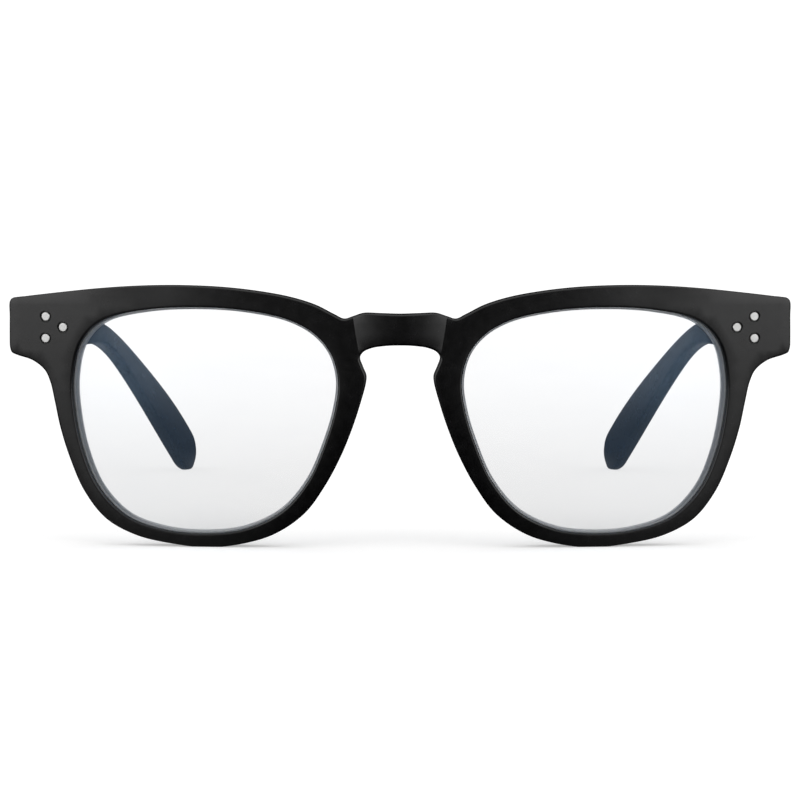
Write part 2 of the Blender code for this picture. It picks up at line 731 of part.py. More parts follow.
def temple_stations():
    """Distances along the temple: closer at the bend, closest in the tip."""
    tip = [TEMPLE_LEN - TIP_LEN * (1 - math.sin(math.radians(a)))
           for a in (0, 25, 45, 62, 76, 86)]
    run = [0.0]
    # (end of the stretch, spacing)
    for end, spacing in ((STRAIGHT - 12, 13.0), (STRAIGHT + 14, 3.7), (tip[0] - 2.0, 5.5)):
        start = run[-1]
        count = max(1, int(round((end - start) / spacing)))
        run += [start + (end - start) * (k + 1) / count for k in range(count)]
    return run + tip


def temple_mesh():
    butt = -HINGE_OFF + TEMPLE_END_GAP
    stations = temple_stations()
    verts = []
    for i, along in enumerate(stations):
        centre, tangent, outward, up = temple_at(along)
        outline = section(*temple_size(along))
        for a, b in outline:
            p = centre + outward * a + up * b
            if i == 0:
                # slide the end section along the temple onto the butt plane
                depth = -(p[0] - HINGE_X) * END_SIN + (p[1] - HINGE_Y) * END_COS
                rate = -tangent[0] * END_SIN + tangent[1] * END_COS
                p = p + tangent * (butt - depth) / rate
            verts.append((p[0], p[1], max(0.0, p[2])))
    rings, size = len(stations), len(outline)
    return verts, band_faces(rings, size, True) + end_faces(rings, size, True)


def wire_point(along):
    """Core wire: dodges the rivets below, then follows the temple's middle."""
    centre, _, outward, up = temple_at(along)
    share = 1 - smooth(along / WIRE_FADE)
    return centre + outward * (WIRE_OUT * share) + up * (-WIRE_DOWN * share)


def wire_mesh(radius, start, end, segs):
    verts = []
    for k in range(WIRE_STEPS + 1):
        along = start + (end - start) * k / WIRE_STEPS
        centre = wire_point(max(along, 0.0))
        ahead = wire_point(max(along, 0.0) + 0.5) - centre
        ahead /= np.linalg.norm(ahead)
        if along < 0:
            centre = centre + ahead * along
        across = np.cross(ahead, [0, 0, 1.0])
        across /= np.linalg.norm(across)
        other = np.cross(across, ahead)
        for i in range(segs):
            angle = 2 * math.pi * i / segs
            verts.append(tuple(centre + across * (radius * math.cos(angle))
                               + other * (radius * math.sin(angle))))
    rings = WIRE_STEPS + 1
    return verts, band_faces(rings, segs) + end_faces(rings, segs)


def build_temple(side):
    temple = side.piece("temple", temple_mesh(), side.material("temple_acetate"), folds=True)

    # rounded behind the knuckles, open to the front
    angles = [math.radians(a) for a in range(0, 181, 15)]
    outline = [(RELIEF_R * math.cos(a), RELIEF_R * math.sin(a)) for a in angles]
    outline += [(-RELIEF_R, -5.0), (RELIEF_R, -5.0)]
    boolean(temple, side.cutter("relief", prism(outline, hinge_frame, -8, 8), folds=True))

    # pocket for the leaf, open to the inner face
    x0, x1 = TEMPLE_FACE - 3, TEMPLE_LEAF_OUT + 0.12
    y0, y1 = PLATE_START - 0.6, TEMPLE_LEAF_END + 0.15
    pocket = prism([(x0, y0), (x1, y0), (x1, y1), (x0, y1)], hinge_frame, -2.75, 2.75)
    boolean(temple, side.cutter("leaf_pocket", pocket, folds=True))

    channel = wire_mesh(WIRE_HOLE_R, WIRE_HOLE_START, TEMPLE_LEN - WIRE_HOLE_END_GAP, 10)
    boolean(temple, side.cutter("wire_channel", channel, folds=True))
    return temple


def build_core_wire(side):
    wire = wire_mesh(WIRE_R, WIRE_START, TEMPLE_LEN - WIRE_END_GAP, 8)
    side.piece("temple_core_wire", wire, side.material("wire_nickel_silver"), folds=True)


# ===================================================================
# hinges
# ===================================================================
# depths in the end piece's frame
END_FRONT = -HINGE_OFF - RIM_THICK
PLATE_FRONT = -HINGE_OFF + PLATE_GAP
PLATE_BACK = PLATE_FRONT + PLATE

STACK_LOW = -(KNUCKLES * KNUCKLE_H + (KNUCKLES - 1) * KNUCKLE_GAP) / 2
KNUCKLE_LEVELS = []      # (bottom, top) of each knuckle, from the lowest
for _k in range(KNUCKLES):
    _bottom = STACK_LOW + _k * (KNUCKLE_H + KNUCKLE_GAP)
    KNUCKLE_LEVELS.append((_bottom, _bottom + KNUCKLE_H))


def knuckle_profile(tail, low, high):
    """Barrel with a strap between low and high that leaves it as far as tail."""
    start = math.degrees(math.asin(min(1.0, high / KNUCKLE_R)))
    end = 360 + math.degrees(math.asin(max(-1.0, low / KNUCKLE_R)))
    points = []
    for k in range(KNUCKLE_SEGS + 1):
        angle = math.radians(start + (end - start) * k / KNUCKLE_SEGS)
        points.append((KNUCKLE_R * math.cos(angle), KNUCKLE_R * math.sin(angle)))
    return points + [(tail, low), (tail, high)]


def finish_knuckles(side, leaf, name, first, profile, frame, bore_name, bore_frame, folds):
    """Join every second knuckle to a leaf, then bore it for the screw."""
    for k in range(first, KNUCKLES, 2):
        barrel = prism(profile, frame, *KNUCKLE_LEVELS[k])
        boolean(leaf, side.cutter(f"{name}_{k}", barrel, folds=folds), "UNION")
    bore = lathe([(0, -PIN_HOLE_HALF), (PIN_HOLE_R, -PIN_HOLE_HALF),
                  (PIN_HOLE_R, PIN_HOLE_HALF), (0, PIN_HOLE_HALF)], bore_frame, 20)
    boolean(leaf, side.cutter(bore_name, bore, folds=folds))


def rivet_local(name):
    """Axis of a front rivet in the end piece's frame (outward, up)."""
    x, z = RIVETS[name]
    face_x, face_y, _ = place(x, z, 0.0)
    return (face_x - HINGE_X) * END_COS + (face_y - HINGE_Y) * END_SIN, z - HINGE_Z


def build_front_leaf(side):
    # shield (outward, up), tapering inward to the inner rivet
    tip = rivet_local("inner")[0]
    shield = [(-PLATE_START, -3.55), (-PLATE_START, 3.55), (-3.9, 3.45), (tip - 0.5, 1.55),
              (tip - 1.35, 0.8), (tip - 1.35, -0.8), (tip - 0.5, -1.55), (-3.9, -3.45)]
    plate = prism(shield, lambda out, z, back: end_frame(out, back, z), PLATE_FRONT, PLATE_BACK)
    leaf = side.piece("front_hinge_leaf", plate, side.material("front_leaf_nickel_silver"))
    # the strap runs inward, on the front side of the barrel
    profile = knuckle_profile(PLATE_START + FRONT_STRAP_OVERLAP, FRONT_STRAP_LOW,
                              KNUCKLE_R - STRAP_INSET)
    finish_knuckles(side, leaf, "front_knuckle", 0, profile,
                    lambda p, q, z: end_frame(-p, -q, z), "pin_bore", end_frame, False)
    return leaf


def build_front_rivets(side, frame, leaf):
    mat = side.material("front_rivet_steel")
    recess_end = END_FRONT + RIVET_RECESS
    # (radius, depth) stations
    hole = [(0, END_FRONT - OVERCUT), (RIVET_RECESS_R, END_FRONT - OVERCUT),
            (RIVET_RECESS_R, recess_end), (RIVET_HOLE_R, recess_end),
            (RIVET_HOLE_R, PLATE_BACK + OVERCUT), (0, PLATE_BACK + OVERCUT)]
    body = [(0, END_FRONT + 0.06), (0.5, END_FRONT + 0.09), (RIVET_R - 0.06, END_FRONT + 0.17),
            (RIVET_R, END_FRONT + 0.30), (RIVET_R, PLATE_BACK + 0.02),
            (RIVET_R - 0.12, PLATE_BACK + 0.10), (0, PLATE_BACK + 0.10)]
    for name in RIVETS:
        out, up = rivet_local(name)

        def axis_frame(p, q, depth):
            return end_frame(out + p, depth, up + q)

        cutter = side.cutter("rivet_hole_" + name, lathe(hole, axis_frame, 16), (0, 0, 0))
        boolean(frame, cutter)
        boolean(leaf, cutter)
        side.piece("front_rivet_" + name, lathe(body, axis_frame, 14), mat,
                   end_frame(out, END_FRONT, up))


def build_hinge_screw(side):
    low, top = KNUCKLE_LEVELS[0][0], KNUCKLE_LEVELS[-1][1]
    head_top = top + HEAD_H
    profile = [(0, low - 0.12), (PIN_R - 0.12, low - 0.12), (PIN_R, low + 0.02),
               (PIN_R, top + 0.06), (HEAD_R - 0.05, top + 0.06), (HEAD_R, top + 0.14),
               (HEAD_R, head_top - 0.16), (HEAD_R - 0.2, head_top), (0, head_top)]
    screw = side.piece("hinge_screw", lathe(profile, hinge_frame, 16),
                       side.material("screw_steel"))
    x, y = SLOT_HALF_LENGTH, SLOT_HALF_WIDTH
    slot = prism([(-x, -y), (x, -y), (x, y), (-x, y)], hinge_frame,
                 head_top - SLOT_DEPTH, head_top + 1)
    boolean(screw, side.cutter("slot", slot))


def build_temple_leaf(side):
    # (backward, up), with the rear corners cut off
    start, end = PLATE_START, TEMPLE_LEAF_END
    outline = [(start, -2.6), (end - 1.2, -2.6), (end, -1.5), (end, 1.5), (end - 1.2, 2.6),
               (start, 2.6)]
    plate = prism(outline, lambda y, z, x: hinge_frame(x, y, z), TEMPLE_LEAF_IN, TEMPLE_LEAF_OUT)
    leaf = side.piece("temple_hinge_leaf", plate, side.material("temple_leaf_nickel_silver"),
                      folds=True)
    profile = knuckle_profile(start + TEMPLE_STRAP_OVERLAP, TEMPLE_LEAF_IN + STRAP_INSET,
                              TEMPLE_LEAF_OUT - STRAP_INSET)
    finish_knuckles(side, leaf, "temple_knuckle", 1, profile,
                    lambda y, x, z: hinge_frame(x, y, z), "temple_pin_bore", hinge_frame, True)
    return leaf


def build_temple_rivets(side, temple, leaf):
    mat = side.material("temple_rivet_steel")
    for name, back in TEMPLE_RIVETS.items():
        # outer face of the temple at this place
        along = HINGE_Y + back - TEMPLE_Y
        face = temple_at(along)[0][0] - HINGE_X + temple_size(along)[1] / 2
        recess = face - TEMPLE_RECESS

        def axis_frame(p, q, depth):
            return hinge_frame(depth, back + p, q)

        hole = [(0, -2.0), (TEMPLE_RIVET_HOLE_R, -2.0), (TEMPLE_RIVET_HOLE_R, recess),
                (TEMPLE_RECESS_R, recess), (TEMPLE_RECESS_R, face + OVERCUT),
                (0, face + OVERCUT)]
        cutter = side.cutter("temple_rivet_hole_" + name, lathe(hole, axis_frame, 14),
                             folds=True)
        boolean(temple, cutter)
        boolean(leaf, cutter)
        body = [(0, TEMPLE_LEAF_IN - 0.06), (0.55, TEMPLE_LEAF_IN - 0.06),
                (TEMPLE_RIVET_R, TEMPLE_LEAF_IN + 0.06), (TEMPLE_RIVET_R, recess),
                (0.66, face - 0.16), (0.4, face - 0.08), (0, face - 0.05)]
        side.piece("temple_rivet_" + name, lathe(body, axis_frame, 12), mat,
                   hinge_frame(face, back, 0), folds=True)


# ===================================================================
# assembly
# ===================================================================
def main():
    for obj in list(bpy.data.objects):
        bpy.data.objects.remove(obj, do_unlink=True)
    frame = add("front_frame", front_mesh(),
                principled("front_acetate", **FINISHES["front_acetate"]))
    for sign, tag in ((-1, "left"), (1, "right")):
        side = Side(sign, tag)
        build_lens(side)
        build_nose_pad(side)
        front_leaf = build_front_leaf(side)
        build_front_rivets(side, frame, front_leaf)
        build_hinge_screw(side)
        temple = build_temple(side)
        build_core_wire(side)
        temple_leaf = build_temple_leaf(side)
        build_temple_rivets(side, temple, temple_leaf)


main()
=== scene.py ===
"""Looks for full-rim acetate spectacles: fine meshes, procedural materials, floor, light, camera.

The glasses stand open on the floor. The front faces -Y, the temples run back along +Y and Z is
up. "left" is the -X side and "right" the +X side, as the camera sees them.
Design dimensions are in millimetres; meshes are written in metres in the part's own axes.
Each fine piece is named after the CAD node it stands for, plus "_look".
"""

import math

import bpy
import bmesh
import numpy as np
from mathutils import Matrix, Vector
from mathutils.geometry import delaunay_2d_cdt


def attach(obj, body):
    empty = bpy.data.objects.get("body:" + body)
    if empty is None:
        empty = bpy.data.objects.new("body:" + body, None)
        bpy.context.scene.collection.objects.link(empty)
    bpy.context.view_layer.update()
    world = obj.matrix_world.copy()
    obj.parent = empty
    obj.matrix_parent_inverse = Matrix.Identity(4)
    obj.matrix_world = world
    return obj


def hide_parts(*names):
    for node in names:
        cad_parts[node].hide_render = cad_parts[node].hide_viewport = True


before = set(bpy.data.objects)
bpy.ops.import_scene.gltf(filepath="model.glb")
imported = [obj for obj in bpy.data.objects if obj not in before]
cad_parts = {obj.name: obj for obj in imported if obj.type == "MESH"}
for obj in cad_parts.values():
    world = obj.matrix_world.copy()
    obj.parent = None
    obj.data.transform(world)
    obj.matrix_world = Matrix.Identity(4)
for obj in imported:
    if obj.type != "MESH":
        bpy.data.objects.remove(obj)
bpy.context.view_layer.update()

MM = 0.001
SIDES = ((-1, "left"), (1, "right"))

# ----------------------------------------------------------------- front
Y_ORIGIN = 69.75         # depth of the part's origin behind the design plane y = 0
RIM_THICK = 4.2          # acetate sheet, front to back
EDGE_ROUND = 0.40        # polished front and back edges
END_X = 59.0             # the end piece is flat beyond this
# (distance from the middle, slope of the bent sheet's backward lean)
FACE_FORM = [(0.0, 0.0), (9.0, 0.008), (28.0, 0.050), (END_X, 0.215)]
FORM_AHEAD = 1.45        # middle of the sheet ahead of the design plane
ROLL_R = 220.0           # radius of the vertical curve
ROLL_Z = 22.9            # height where the vertical curve is foremost
ROLL_FADE = (43.0, 18.0)  # the vertical curve fades from this |x|, over this length

# half of the outer outline (x, z), from the top of the bridge round the end
# piece and the rim to the underside of the bridge
OUTLINE = [
    (0.0, 42.7), (3.55, 42.8), (6.65, 42.85), (8.6, 42.25), (10.25, 41.8),
    (12.15, 42.65), (15.45, 44.3), (19.95, 45.7), (25.95, 46.8), (32.95, 47.55),
    (41.0, 47.85), (49.0, 47.7), (56.95, 47.15), (63.9, 46.4), (69.55, 45.7),
    (71.45, 45.4), (71.95, 44.75), (72.0, 42.0), (72.05, 38.5), (72.0, 36.35),
    (71.65, 35.4), (70.65, 34.9), (67.7, 33.95), (65.45, 32.2), (64.4, 29.95),
    (63.65, 26.65), (62.6, 21.65), (60.85, 16.05), (58.2, 10.05), (54.15, 5.0),
    (48.4, 1.95), (41.5, 0.45), (35.5, -0.13), (29.45, 0.5), (23.1, 2.4),
    (17.45, 6.3), (13.75, 11.3), (10.75, 16.9), (8.65, 22.05), (7.25, 26.3),
    (6.2, 30.2), (6.15, 31.5), (6.75, 33.0), (7.3, 34.75), (6.7, 35.85),
    (5.15, 36.6), (2.6, 37.0), (0.0, 37.1),
]
# lens opening of the +X rim (x, z), counter-clockwise seen from the front
OPENING = [
    (35.95, 43.9), (27.4, 43.25), (20.1, 41.6), (15.5, 39.05), (12.55, 35.45),
    (11.3, 30.6), (11.85, 25.45), (13.75, 19.15), (16.8, 12.3), (21.6, 6.7),
    (28.3, 3.4), (35.95, 2.45), (43.6, 3.1), (50.35, 5.5), (55.4, 10.55),
    (58.3, 17.05), (59.85, 24.35), (60.15, 31.0), (58.6, 37.4), (54.7, 41.35),
    (46.5, 43.4),
]
# facet line of the bridge where it meets the rims; its ends lie on the outline
CREASE_SLOPE = 0.22
CREASE_TOP = OUTLINE[3]
CREASE_LOW = OUTLINE[-5]

# groove for the lens, in the wall of each opening
GROOVE_DEPTH = 1.0
GROOVE_MID = RIM_THICK / 2
GROOVE_HALF = 0.9

# point spacing of the mesh: along a straight, degrees per point, pitch inside a face
FRONT_STEP, FRONT_TURN, FRONT_PITCH = 1.15, 5.5, 1.9
LENS_STEP, LENS_TURN, LENS_PITCH = 1.0, 5.0, 3.0
ROUND_SEGS = 5
CURVE_SAMPLES = 40       # samples between two measured points

# ---------------------------------------------------------------- lenses
LENS_THICK = 2.0
LENS_FRONT = GROOVE_MID - LENS_THICK / 2    # depth below the rim's front
LENS_BACK = GROOVE_MID + LENS_THICK / 2
LENS_TIP = 0.69          # reach of the bevel tip into the rim
LENS_EASE = 0.15         # clearance between lens face edge and rim
LENS_CHAMFER_FRONT = 0.20
LENS_CHAMFER_BACK = 0.30

# ------------------------------------------------------------- nose pads
# middle of the +X pad (x, z), from its foot up
PAD_PATH = [(13.3, 15.2), (11.5, 19.2), (10.2, 23.2), (9.2, 27.2), (8.75, 31.2)]
PAD_PROUD = 4.6
PAD_HALF = 1.55
PAD_LEAN = 0.24
BOND = 0.12              # glue line
PAD_STATIONS = 44        # steps along the pad
PAD_END_STEPS = 6        # further steps over each end
PAD_ARC_STEPS = 7        # steps between two points of the crown
PAD_END_SETBACK = 0.012  # share of the length by which the turned-over ends start early
# crown of the cross-section (across, proud) as shares of the half width and height
PAD_CROWN = [(-1.0, 0.0), (-1.0, 0.35), (-0.78, 0.78), (-0.3, 1.0), (0.35, 0.98),
             (0.82, 0.72), (1.0, 0.32), (1.0, 0.0)]

# ---------------------------------------------------------------- hinges
HINGE_X = 67.5           # pivot line
HINGE_Z = 40.15          # middle of the knuckle stack
HINGE_OFF = 2.2          # pivot behind the back of the end piece
END_BACK_X = 66.0        # where the back of the end piece is taken
KNUCKLE_R = 1.35
KNUCKLE_H = 1.40
KNUCKLE_GAP = 0.10
KNUCKLE_CHAMFER = 0.09
LEAF_START = KNUCKLE_R + 0.15    # edge of both plates, from the pivot
PLATE = 0.80
PLATE_GAP = 0.10
PIN_R = 0.62
PIN_HOLE_R = 0.70
HEAD_R = 1.10
HEAD_H = 0.48
SLOT_HALF = 0.16
SLOT_DEPTH = 0.24
RIVET_R = 0.81
RIVET_HOLE_R = 0.91
RIVET_RECESS_R = 1.05
RIVET_RECESS = 0.32
# axes of the front rivets (x, z)
RIVETS = {"upper": (65.1, 42.05), "lower": (65.15, 38.05), "inner": (61.85, 40.1)}
PIN_SIDES, RIVET_SIDES, ARM_RIVET_SIDES = 48, 40, 36

# --------------------------------------------------------------- temples
TEMPLE_X = 69.1          # middle of the temple at the hinge
TEMPLE_Z = 40.1
TEMPLE_AHEAD = 1.0       # start of the temple's middle line ahead of the pivot
TEMPLE_END_GAP = 0.25    # butt joint to the end piece, open
BEND_AT = (65.15, 98.0, 34.0)   # middle of the temple where it turns down
BEND_LEN = 29.0
TAIL_LEN = 55.6
TAIL_DOWN = (32.4, 40.1)        # degrees, after the bend and at the tip
TAIL_IN = (22.1, 19.0)
HINGE_HEIGHT, BEND_HEIGHT, PADDLE_HEIGHT = 9.9, 4.8, 9.1
HINGE_THICK, TIP_THICK = 3.8, 2.8
NARROW_SHARE = 0.82      # share of the straight run over which the height tapers
TIP_LEN = PADDLE_HEIGHT * 0.75   # length of the rounded tip
TEMPLE_CORNER_SEGS = 7
PATH_SAMPLES = 600
RELIEF_R = 1.60          # clearance round the knuckles
WIRE_R = 0.45
WIRE_HOLE_R = 0.60
WIRE_END, WIRE_HOLE_END = 9.6, 9.0          # distances from the tip
WIRE_DODGE_OUT, WIRE_DODGE_UP, WIRE_DODGE_LEN = 0.95, -2.15, 30.0
ARM_RIVETS = {"front": 4.0, "rear": 7.4}    # behind the pivot
ARM_RIVET_HOLE_R = 0.8
ARM_LEAF_END = 9.0       # rear end of the plate, behind the pivot
ARM_LEAF_HALF = 2.6
POCKET_EASE = 0.15


# ===================================================================
# curves
# ===================================================================
def weigh(first, last, start, end, time):
    """Point between first (at start) and last (at end), also beyond them."""
    return (end - time) / (end - start) * first + (time - start) / (end - start) * last


def catmull(points, closed):
    """Centripetal Catmull-Rom curve; an open one is guided past its ends by mirrored points."""
    knots = [np.array(q, float) for q in points]
    if closed:
        knots = [knots[-1]] + knots + [knots[0], knots[1]]
    else:
        mirror = np.array([-1, 1])
        knots = [knots[1] * mirror] + knots + [knots[-2] * mirror]
    curve = []
    for quad in zip(knots, knots[1:], knots[2:], knots[3:]):
        times = [0.0]
        for start, end in zip(quad, quad[1:]):
            times.append(times[-1] + math.sqrt(np.linalg.norm(end - start)))
        for k in range(CURVE_SAMPLES):
            time = times[1] + (times[2] - times[1]) * k / CURVE_SAMPLES
            level = [weigh(quad[i], quad[i + 1], times[i], times[i + 1], time) for i in range(3)]
            level = [weigh(level[i], level[i + 1], times[i], times[i + 2], time) for i in range(2)]
            curve.append(weigh(level[0], level[1], times[1], times[2], time))
    if not closed:
        curve.append(knots[-2])
    return np.array(curve)


def graded(curve, closed, step, turn):
    """Resample with fewer points on the straights and more round the corners."""
    path = np.vstack([curve, curve[:1]]) if closed else curve
    run = np.diff(path, axis=0)
    length = np.hypot(run[:, 0], run[:, 1])
    heading = np.unwrap(np.arctan2(run[:, 1], run[:, 0]))
    bend = np.abs(np.diff(heading))
    cost = length / step
    cost[1:] += 0.5 * bend / math.radians(turn)
    cost[:-1] += 0.5 * bend / math.radians(turn)
    total = np.concatenate([[0.0], np.cumsum(cost)])
    count = max(8 if closed else 1, int(round(total[-1])))
    at = np.linspace(0, total[-1], count + 1)
    points = np.stack([np.interp(at, total, path[:, 0]), np.interp(at, total, path[:, 1])], 1)
    return points[:-1] if closed else points


def outer_loop():
    """Closed outline, counter-clockwise seen from the front (+X right, +Z up).

    Also returns the indices of the crease ends: one (top, low) pair for each side.
    """
    half = catmull(OUTLINE, False)
    half[:, 1] = np.maximum(half[:, 1], 0.0)

    def nearest(point):
        return int(np.argmin(np.hypot(half[:, 0] - point[0], half[:, 1] - point[1])))

    # break the run at the crease ends and at the flat foot, so each is a vertex
    foot = np.flatnonzero(half[:, 1] <= 0.0)
    breaks = [0, nearest(CREASE_TOP), int(foot[0]), int(foot[-1]), nearest(CREASE_LOW),
              len(half) - 1]
    runs = [graded(half[a:b + 1], False, FRONT_STEP, FRONT_TURN)
            for a, b in zip(breaks, breaks[1:])]
    points = np.vstack([run[:-1] for run in runs[:-1]] + [runs[-1]])
    top = len(runs[0]) - 1
    low = sum(len(run) - 1 for run in runs[:4])
    mirrored = points[1:-1] * np.array([-1, 1])
    loop = np.vstack([points, mirrored[::-1]])[::-1]
    last = len(loop) - 1
    return loop, [(last - top, last - low), (top - 1, low - 1)]


def opening_loop(step, turn, side):
    loop = graded(catmull(OPENING, True), True, step, turn)
    if side < 0:
        loop = (loop * np.array([-1, 1]))[::-1]
    return loop


def offset(loop, distance):
    """Move a counter-clockwise loop outward (a negative distance goes inward)."""
    before = loop - np.roll(loop, 1, axis=0)
    after = np.roll(loop, -1, axis=0) - loop
    normals = [np.stack([edge[:, 1], -edge[:, 0]], 1) / np.hypot(edge[:, 0], edge[:, 1])[:, None]
               for edge in (before, after)]
    mitre = normals[0] + normals[1]
    mitre /= np.maximum(0.5, 0.5 * np.sum(mitre * mitre, axis=1))[:, None]
    return loop + distance * mitre


def inside(points, loop):
    x, y = points[:, 0][:, None], points[:, 1][:, None]
    x0, y0 = loop[:, 0], loop[:, 1]
    x1, y1 = np.roll(x0, -1), np.roll(y0, -1)
    spans = (y0 > y) != (y1 > y)
    rise = np.where(y1 == y0, 1.0, y1 - y0)
    return (np.sum(spans & (x < (x1 - x0) * (y - y0) / rise + x0), axis=1) % 2) == 1


def distance_to(points, loop):
    edge = np.roll(loop, -1, axis=0) - loop
    share = np.clip(((points[:, None, :] - loop) * edge).sum(2) / (edge * edge).sum(1), 0, 1)
    foot = loop + share[..., None] * edge
    return np.sqrt(((points[:, None, :] - foot) ** 2).sum(2)).min(1)


def smooth(share):
    share = min(1.0, max(0.0, share))
    return share * share * (3 - 2 * share)


def row_at(at, stations, rows):
    """Interpolate every column of rows at one place along the stations."""
    return np.array([np.interp(at, stations, column) for column in rows.T])


# ===================================================================
# the bent sheet
# ===================================================================
def sheet(x):
    """Depth of the bent sheet's front at the height ROLL_Z."""
    reach, y = abs(x), -FORM_AHEAD
    for (x0, slope0), (x1, slope1) in zip(FACE_FORM, FACE_FORM[1:]):
        if reach <= x0:
            break
        run = min(reach, x1) - x0
        y += slope0 * run + (slope1 - slope0) * run * run / (2 * (x1 - x0))
    return y + max(0.0, reach - FACE_FORM[-1][0]) * FACE_FORM[-1][1]


def sheet_slope(x):
    slope = float(np.interp(abs(x), [p[0] for p in FACE_FORM], [p[1] for p in FACE_FORM]))
    return math.copysign(slope, x)


def roll(x, z):
    """Vertical curve; it turns into a constant setback at the end piece."""
    fade = smooth((abs(x) - ROLL_FADE[0]) / ROLL_FADE[1])
    return ((z - ROLL_Z) ** 2 * (1 - fade) + (HINGE_Z - ROLL_Z) ** 2 * fade) / (2 * ROLL_R)


def crease_x(z):
    share = (z - CREASE_LOW[1]) / (CREASE_TOP[1] - CREASE_LOW[1])
    return CREASE_LOW[0] + share * (CREASE_TOP[0] - CREASE_LOW[0])


def bulge(x, z):
    """How far the bridge stands ahead of the sheet between the two creases."""
    crease = crease_x(z)
    if abs(x) >= crease or z < CREASE_LOW[1] - 1.0:
        return 0.0
    share = (crease - abs(x)) / crease
    return CREASE_SLOPE * crease * (share - share * share / 2)


def place(x, z, depth):
    """Point at a depth behind the front surface of the bent sheet."""
    slope = sheet_slope(x)
    norm = math.sqrt(1 + slope * slope)
    ahead = bulge(x, z) * max(0.0, 1 - depth / RIM_THICK)
    return (x - depth * slope / norm, sheet(x) + roll(x, z) + depth / norm - ahead, z)


# frame of the +X end piece, measured at the pivot
END_SLOPE = sheet_slope(END_X)
END_COS = 1 / math.sqrt(1 + END_SLOPE ** 2)
END_SIN = END_SLOPE * END_COS
BACK_X, BACK_Y, _ = place(END_BACK_X, HINGE_Z, RIM_THICK)
HINGE_Y = (-BACK_X * END_SIN + BACK_Y * END_COS + HINGE_OFF + HINGE_X * END_SIN) / END_COS

# depths in that frame, behind the pivot
END_FRONT = -HINGE_OFF - RIM_THICK
LEAF_FRONT = -HINGE_OFF + PLATE_GAP
LEAF_BACK = LEAF_FRONT + PLATE


def end_frame(out, back, up):
    """Out along the end piece, backward square to it, and up, from the pivot."""
    return (HINGE_X + out * END_COS - back * END_SIN,
            HINGE_Y + out * END_SIN + back * END_COS, HINGE_Z + up)


def hinge_frame(x, y, z):
    """Along the part's axes, from the pivot."""
    return (HINGE_X + x, HINGE_Y + y, HINGE_Z + z)


def crosswise(y, z, x):
    """hinge_frame for shapes drawn in (y, z) and extruded along x."""
    return hinge_frame(x, y, z)


# ===================================================================
# solids from polygons and profiles, as (vertices, faces)
# ===================================================================
def bands(count, rings, start=0, flip=False):
    """Quads between consecutive rings of count vertices."""
    faces = []
    for a in range(start, start + (rings - 1) * count, count):
        b = a + count
        for i in range(count):
            j = (i + 1) % count
            faces.append((a + i, b + i, b + j, a + j) if flip else (a + i, a + j, b + j, b + i))
    return faces


def end_caps(count, rings):
    return [tuple(range(count))[::-1], tuple(range((rings - 1) * count, rings * count))]


def stacked(layers, to_frame):
    """Solid through (polygon, height) layers."""
    count = len(layers[0][0])
    verts = [to_frame(p[0], p[1], height) for polygon, height in layers for p in polygon]
    return verts, end_caps(count, len(layers)) + bands(count, len(layers))


def prism(polygon, to_frame, low, high):
    return stacked([(polygon, low), (polygon, high)], to_frame)


def chamfered(polygon, to_frame, low, high, chamfer):
    """Extruded counter-clockwise polygon with a small chamfer at both ends."""
    polygon = np.array(polygon, float)
    small = offset(polygon, -chamfer)
    return stacked([(small, low), (polygon, low + chamfer), (polygon, high - chamfer),
                    (small, high)], to_frame)


def rounded_poly(polygon, radius, segs=5):
    """Round the corners of a polygon."""
    points, count = [], len(polygon)
    for i in range(count):
        before, corner, after = (np.array(polygon[(i + k) % count], float) for k in (-1, 0, 1))
        back, on = before - corner, after - corner
        back_len, on_len = np.linalg.norm(back), np.linalg.norm(on)
        cut = min(radius, 0.45 * back_len, 0.45 * on_len)
        start, end = corner + back / back_len * cut, corner + on / on_len * cut
        for t in np.linspace(0, 1, segs + 1):
            points.append(tuple((1 - t) ** 2 * start + 2 * t * (1 - t) * corner + t * t * end))
    return points


def lathe(profile, to_frame, sides):
    """Turn (radius, depth) stations about an axis; both ends close on the axis."""
    verts, faces, rings = [], [], []
    for radius, depth in profile:
        if radius < 1e-6:
            rings.append([len(verts)])
            verts.append(to_frame(0.0, 0.0, depth))
        else:
            rings.append(list(range(len(verts), len(verts) + sides)))
            for k in range(sides):
                angle = 2 * math.pi * (k + 0.5) / sides
                verts.append(to_frame(radius * math.cos(angle), radius * math.sin(angle), depth))
    for ring, following in zip(rings, rings[1:]):
        for i in range(sides):
            j = (i + 1) % sides
            if len(ring) == 1:
                faces.append((ring[0], following[j], following[i]))
            elif len(following) == 1:
                faces.append((ring[i], ring[j], following[0]))
            else:
                faces.append((ring[i], ring[j], following[j], following[i]))
    return verts, faces


def rod(radius, low, high, to_frame, sides):
    return lathe([(0, low), (radius, low), (radius, high), (0, high)], to_frame, sides)


def cap_triangles(loops, extra, creases=()):
    """Triangles between the first loop (outer) and the others (holes)."""
    points = np.vstack(list(loops) + [extra])
    edges, base = [], 0
    for loop in loops:
        count = len(loop)
        edges += [(base + i, base + (i + 1) % count) for i in range(count)]
        base += count
    edges += list(creases)
    coords = [Vector((float(p[0]), float(p[1]))) for p in points]
    # whole convex hull (0), merging within 1e-6, with the source ids
    result = delaunay_2d_cdt(coords, edges, [], 0, 1e-6, True)
    faces, sources = result[2], result[3]
    source = [ids[0] for ids in sources]
    triangles = np.array([[source[i] for i in face] for face in faces])
    middles = points[triangles].mean(axis=1)
    keep = inside(middles, loops[0])
    for loop in loops[1:]:
        keep &= ~inside(middles, loop)
    return [tuple(int(i) for i in triangle) for triangle in triangles[keep]]


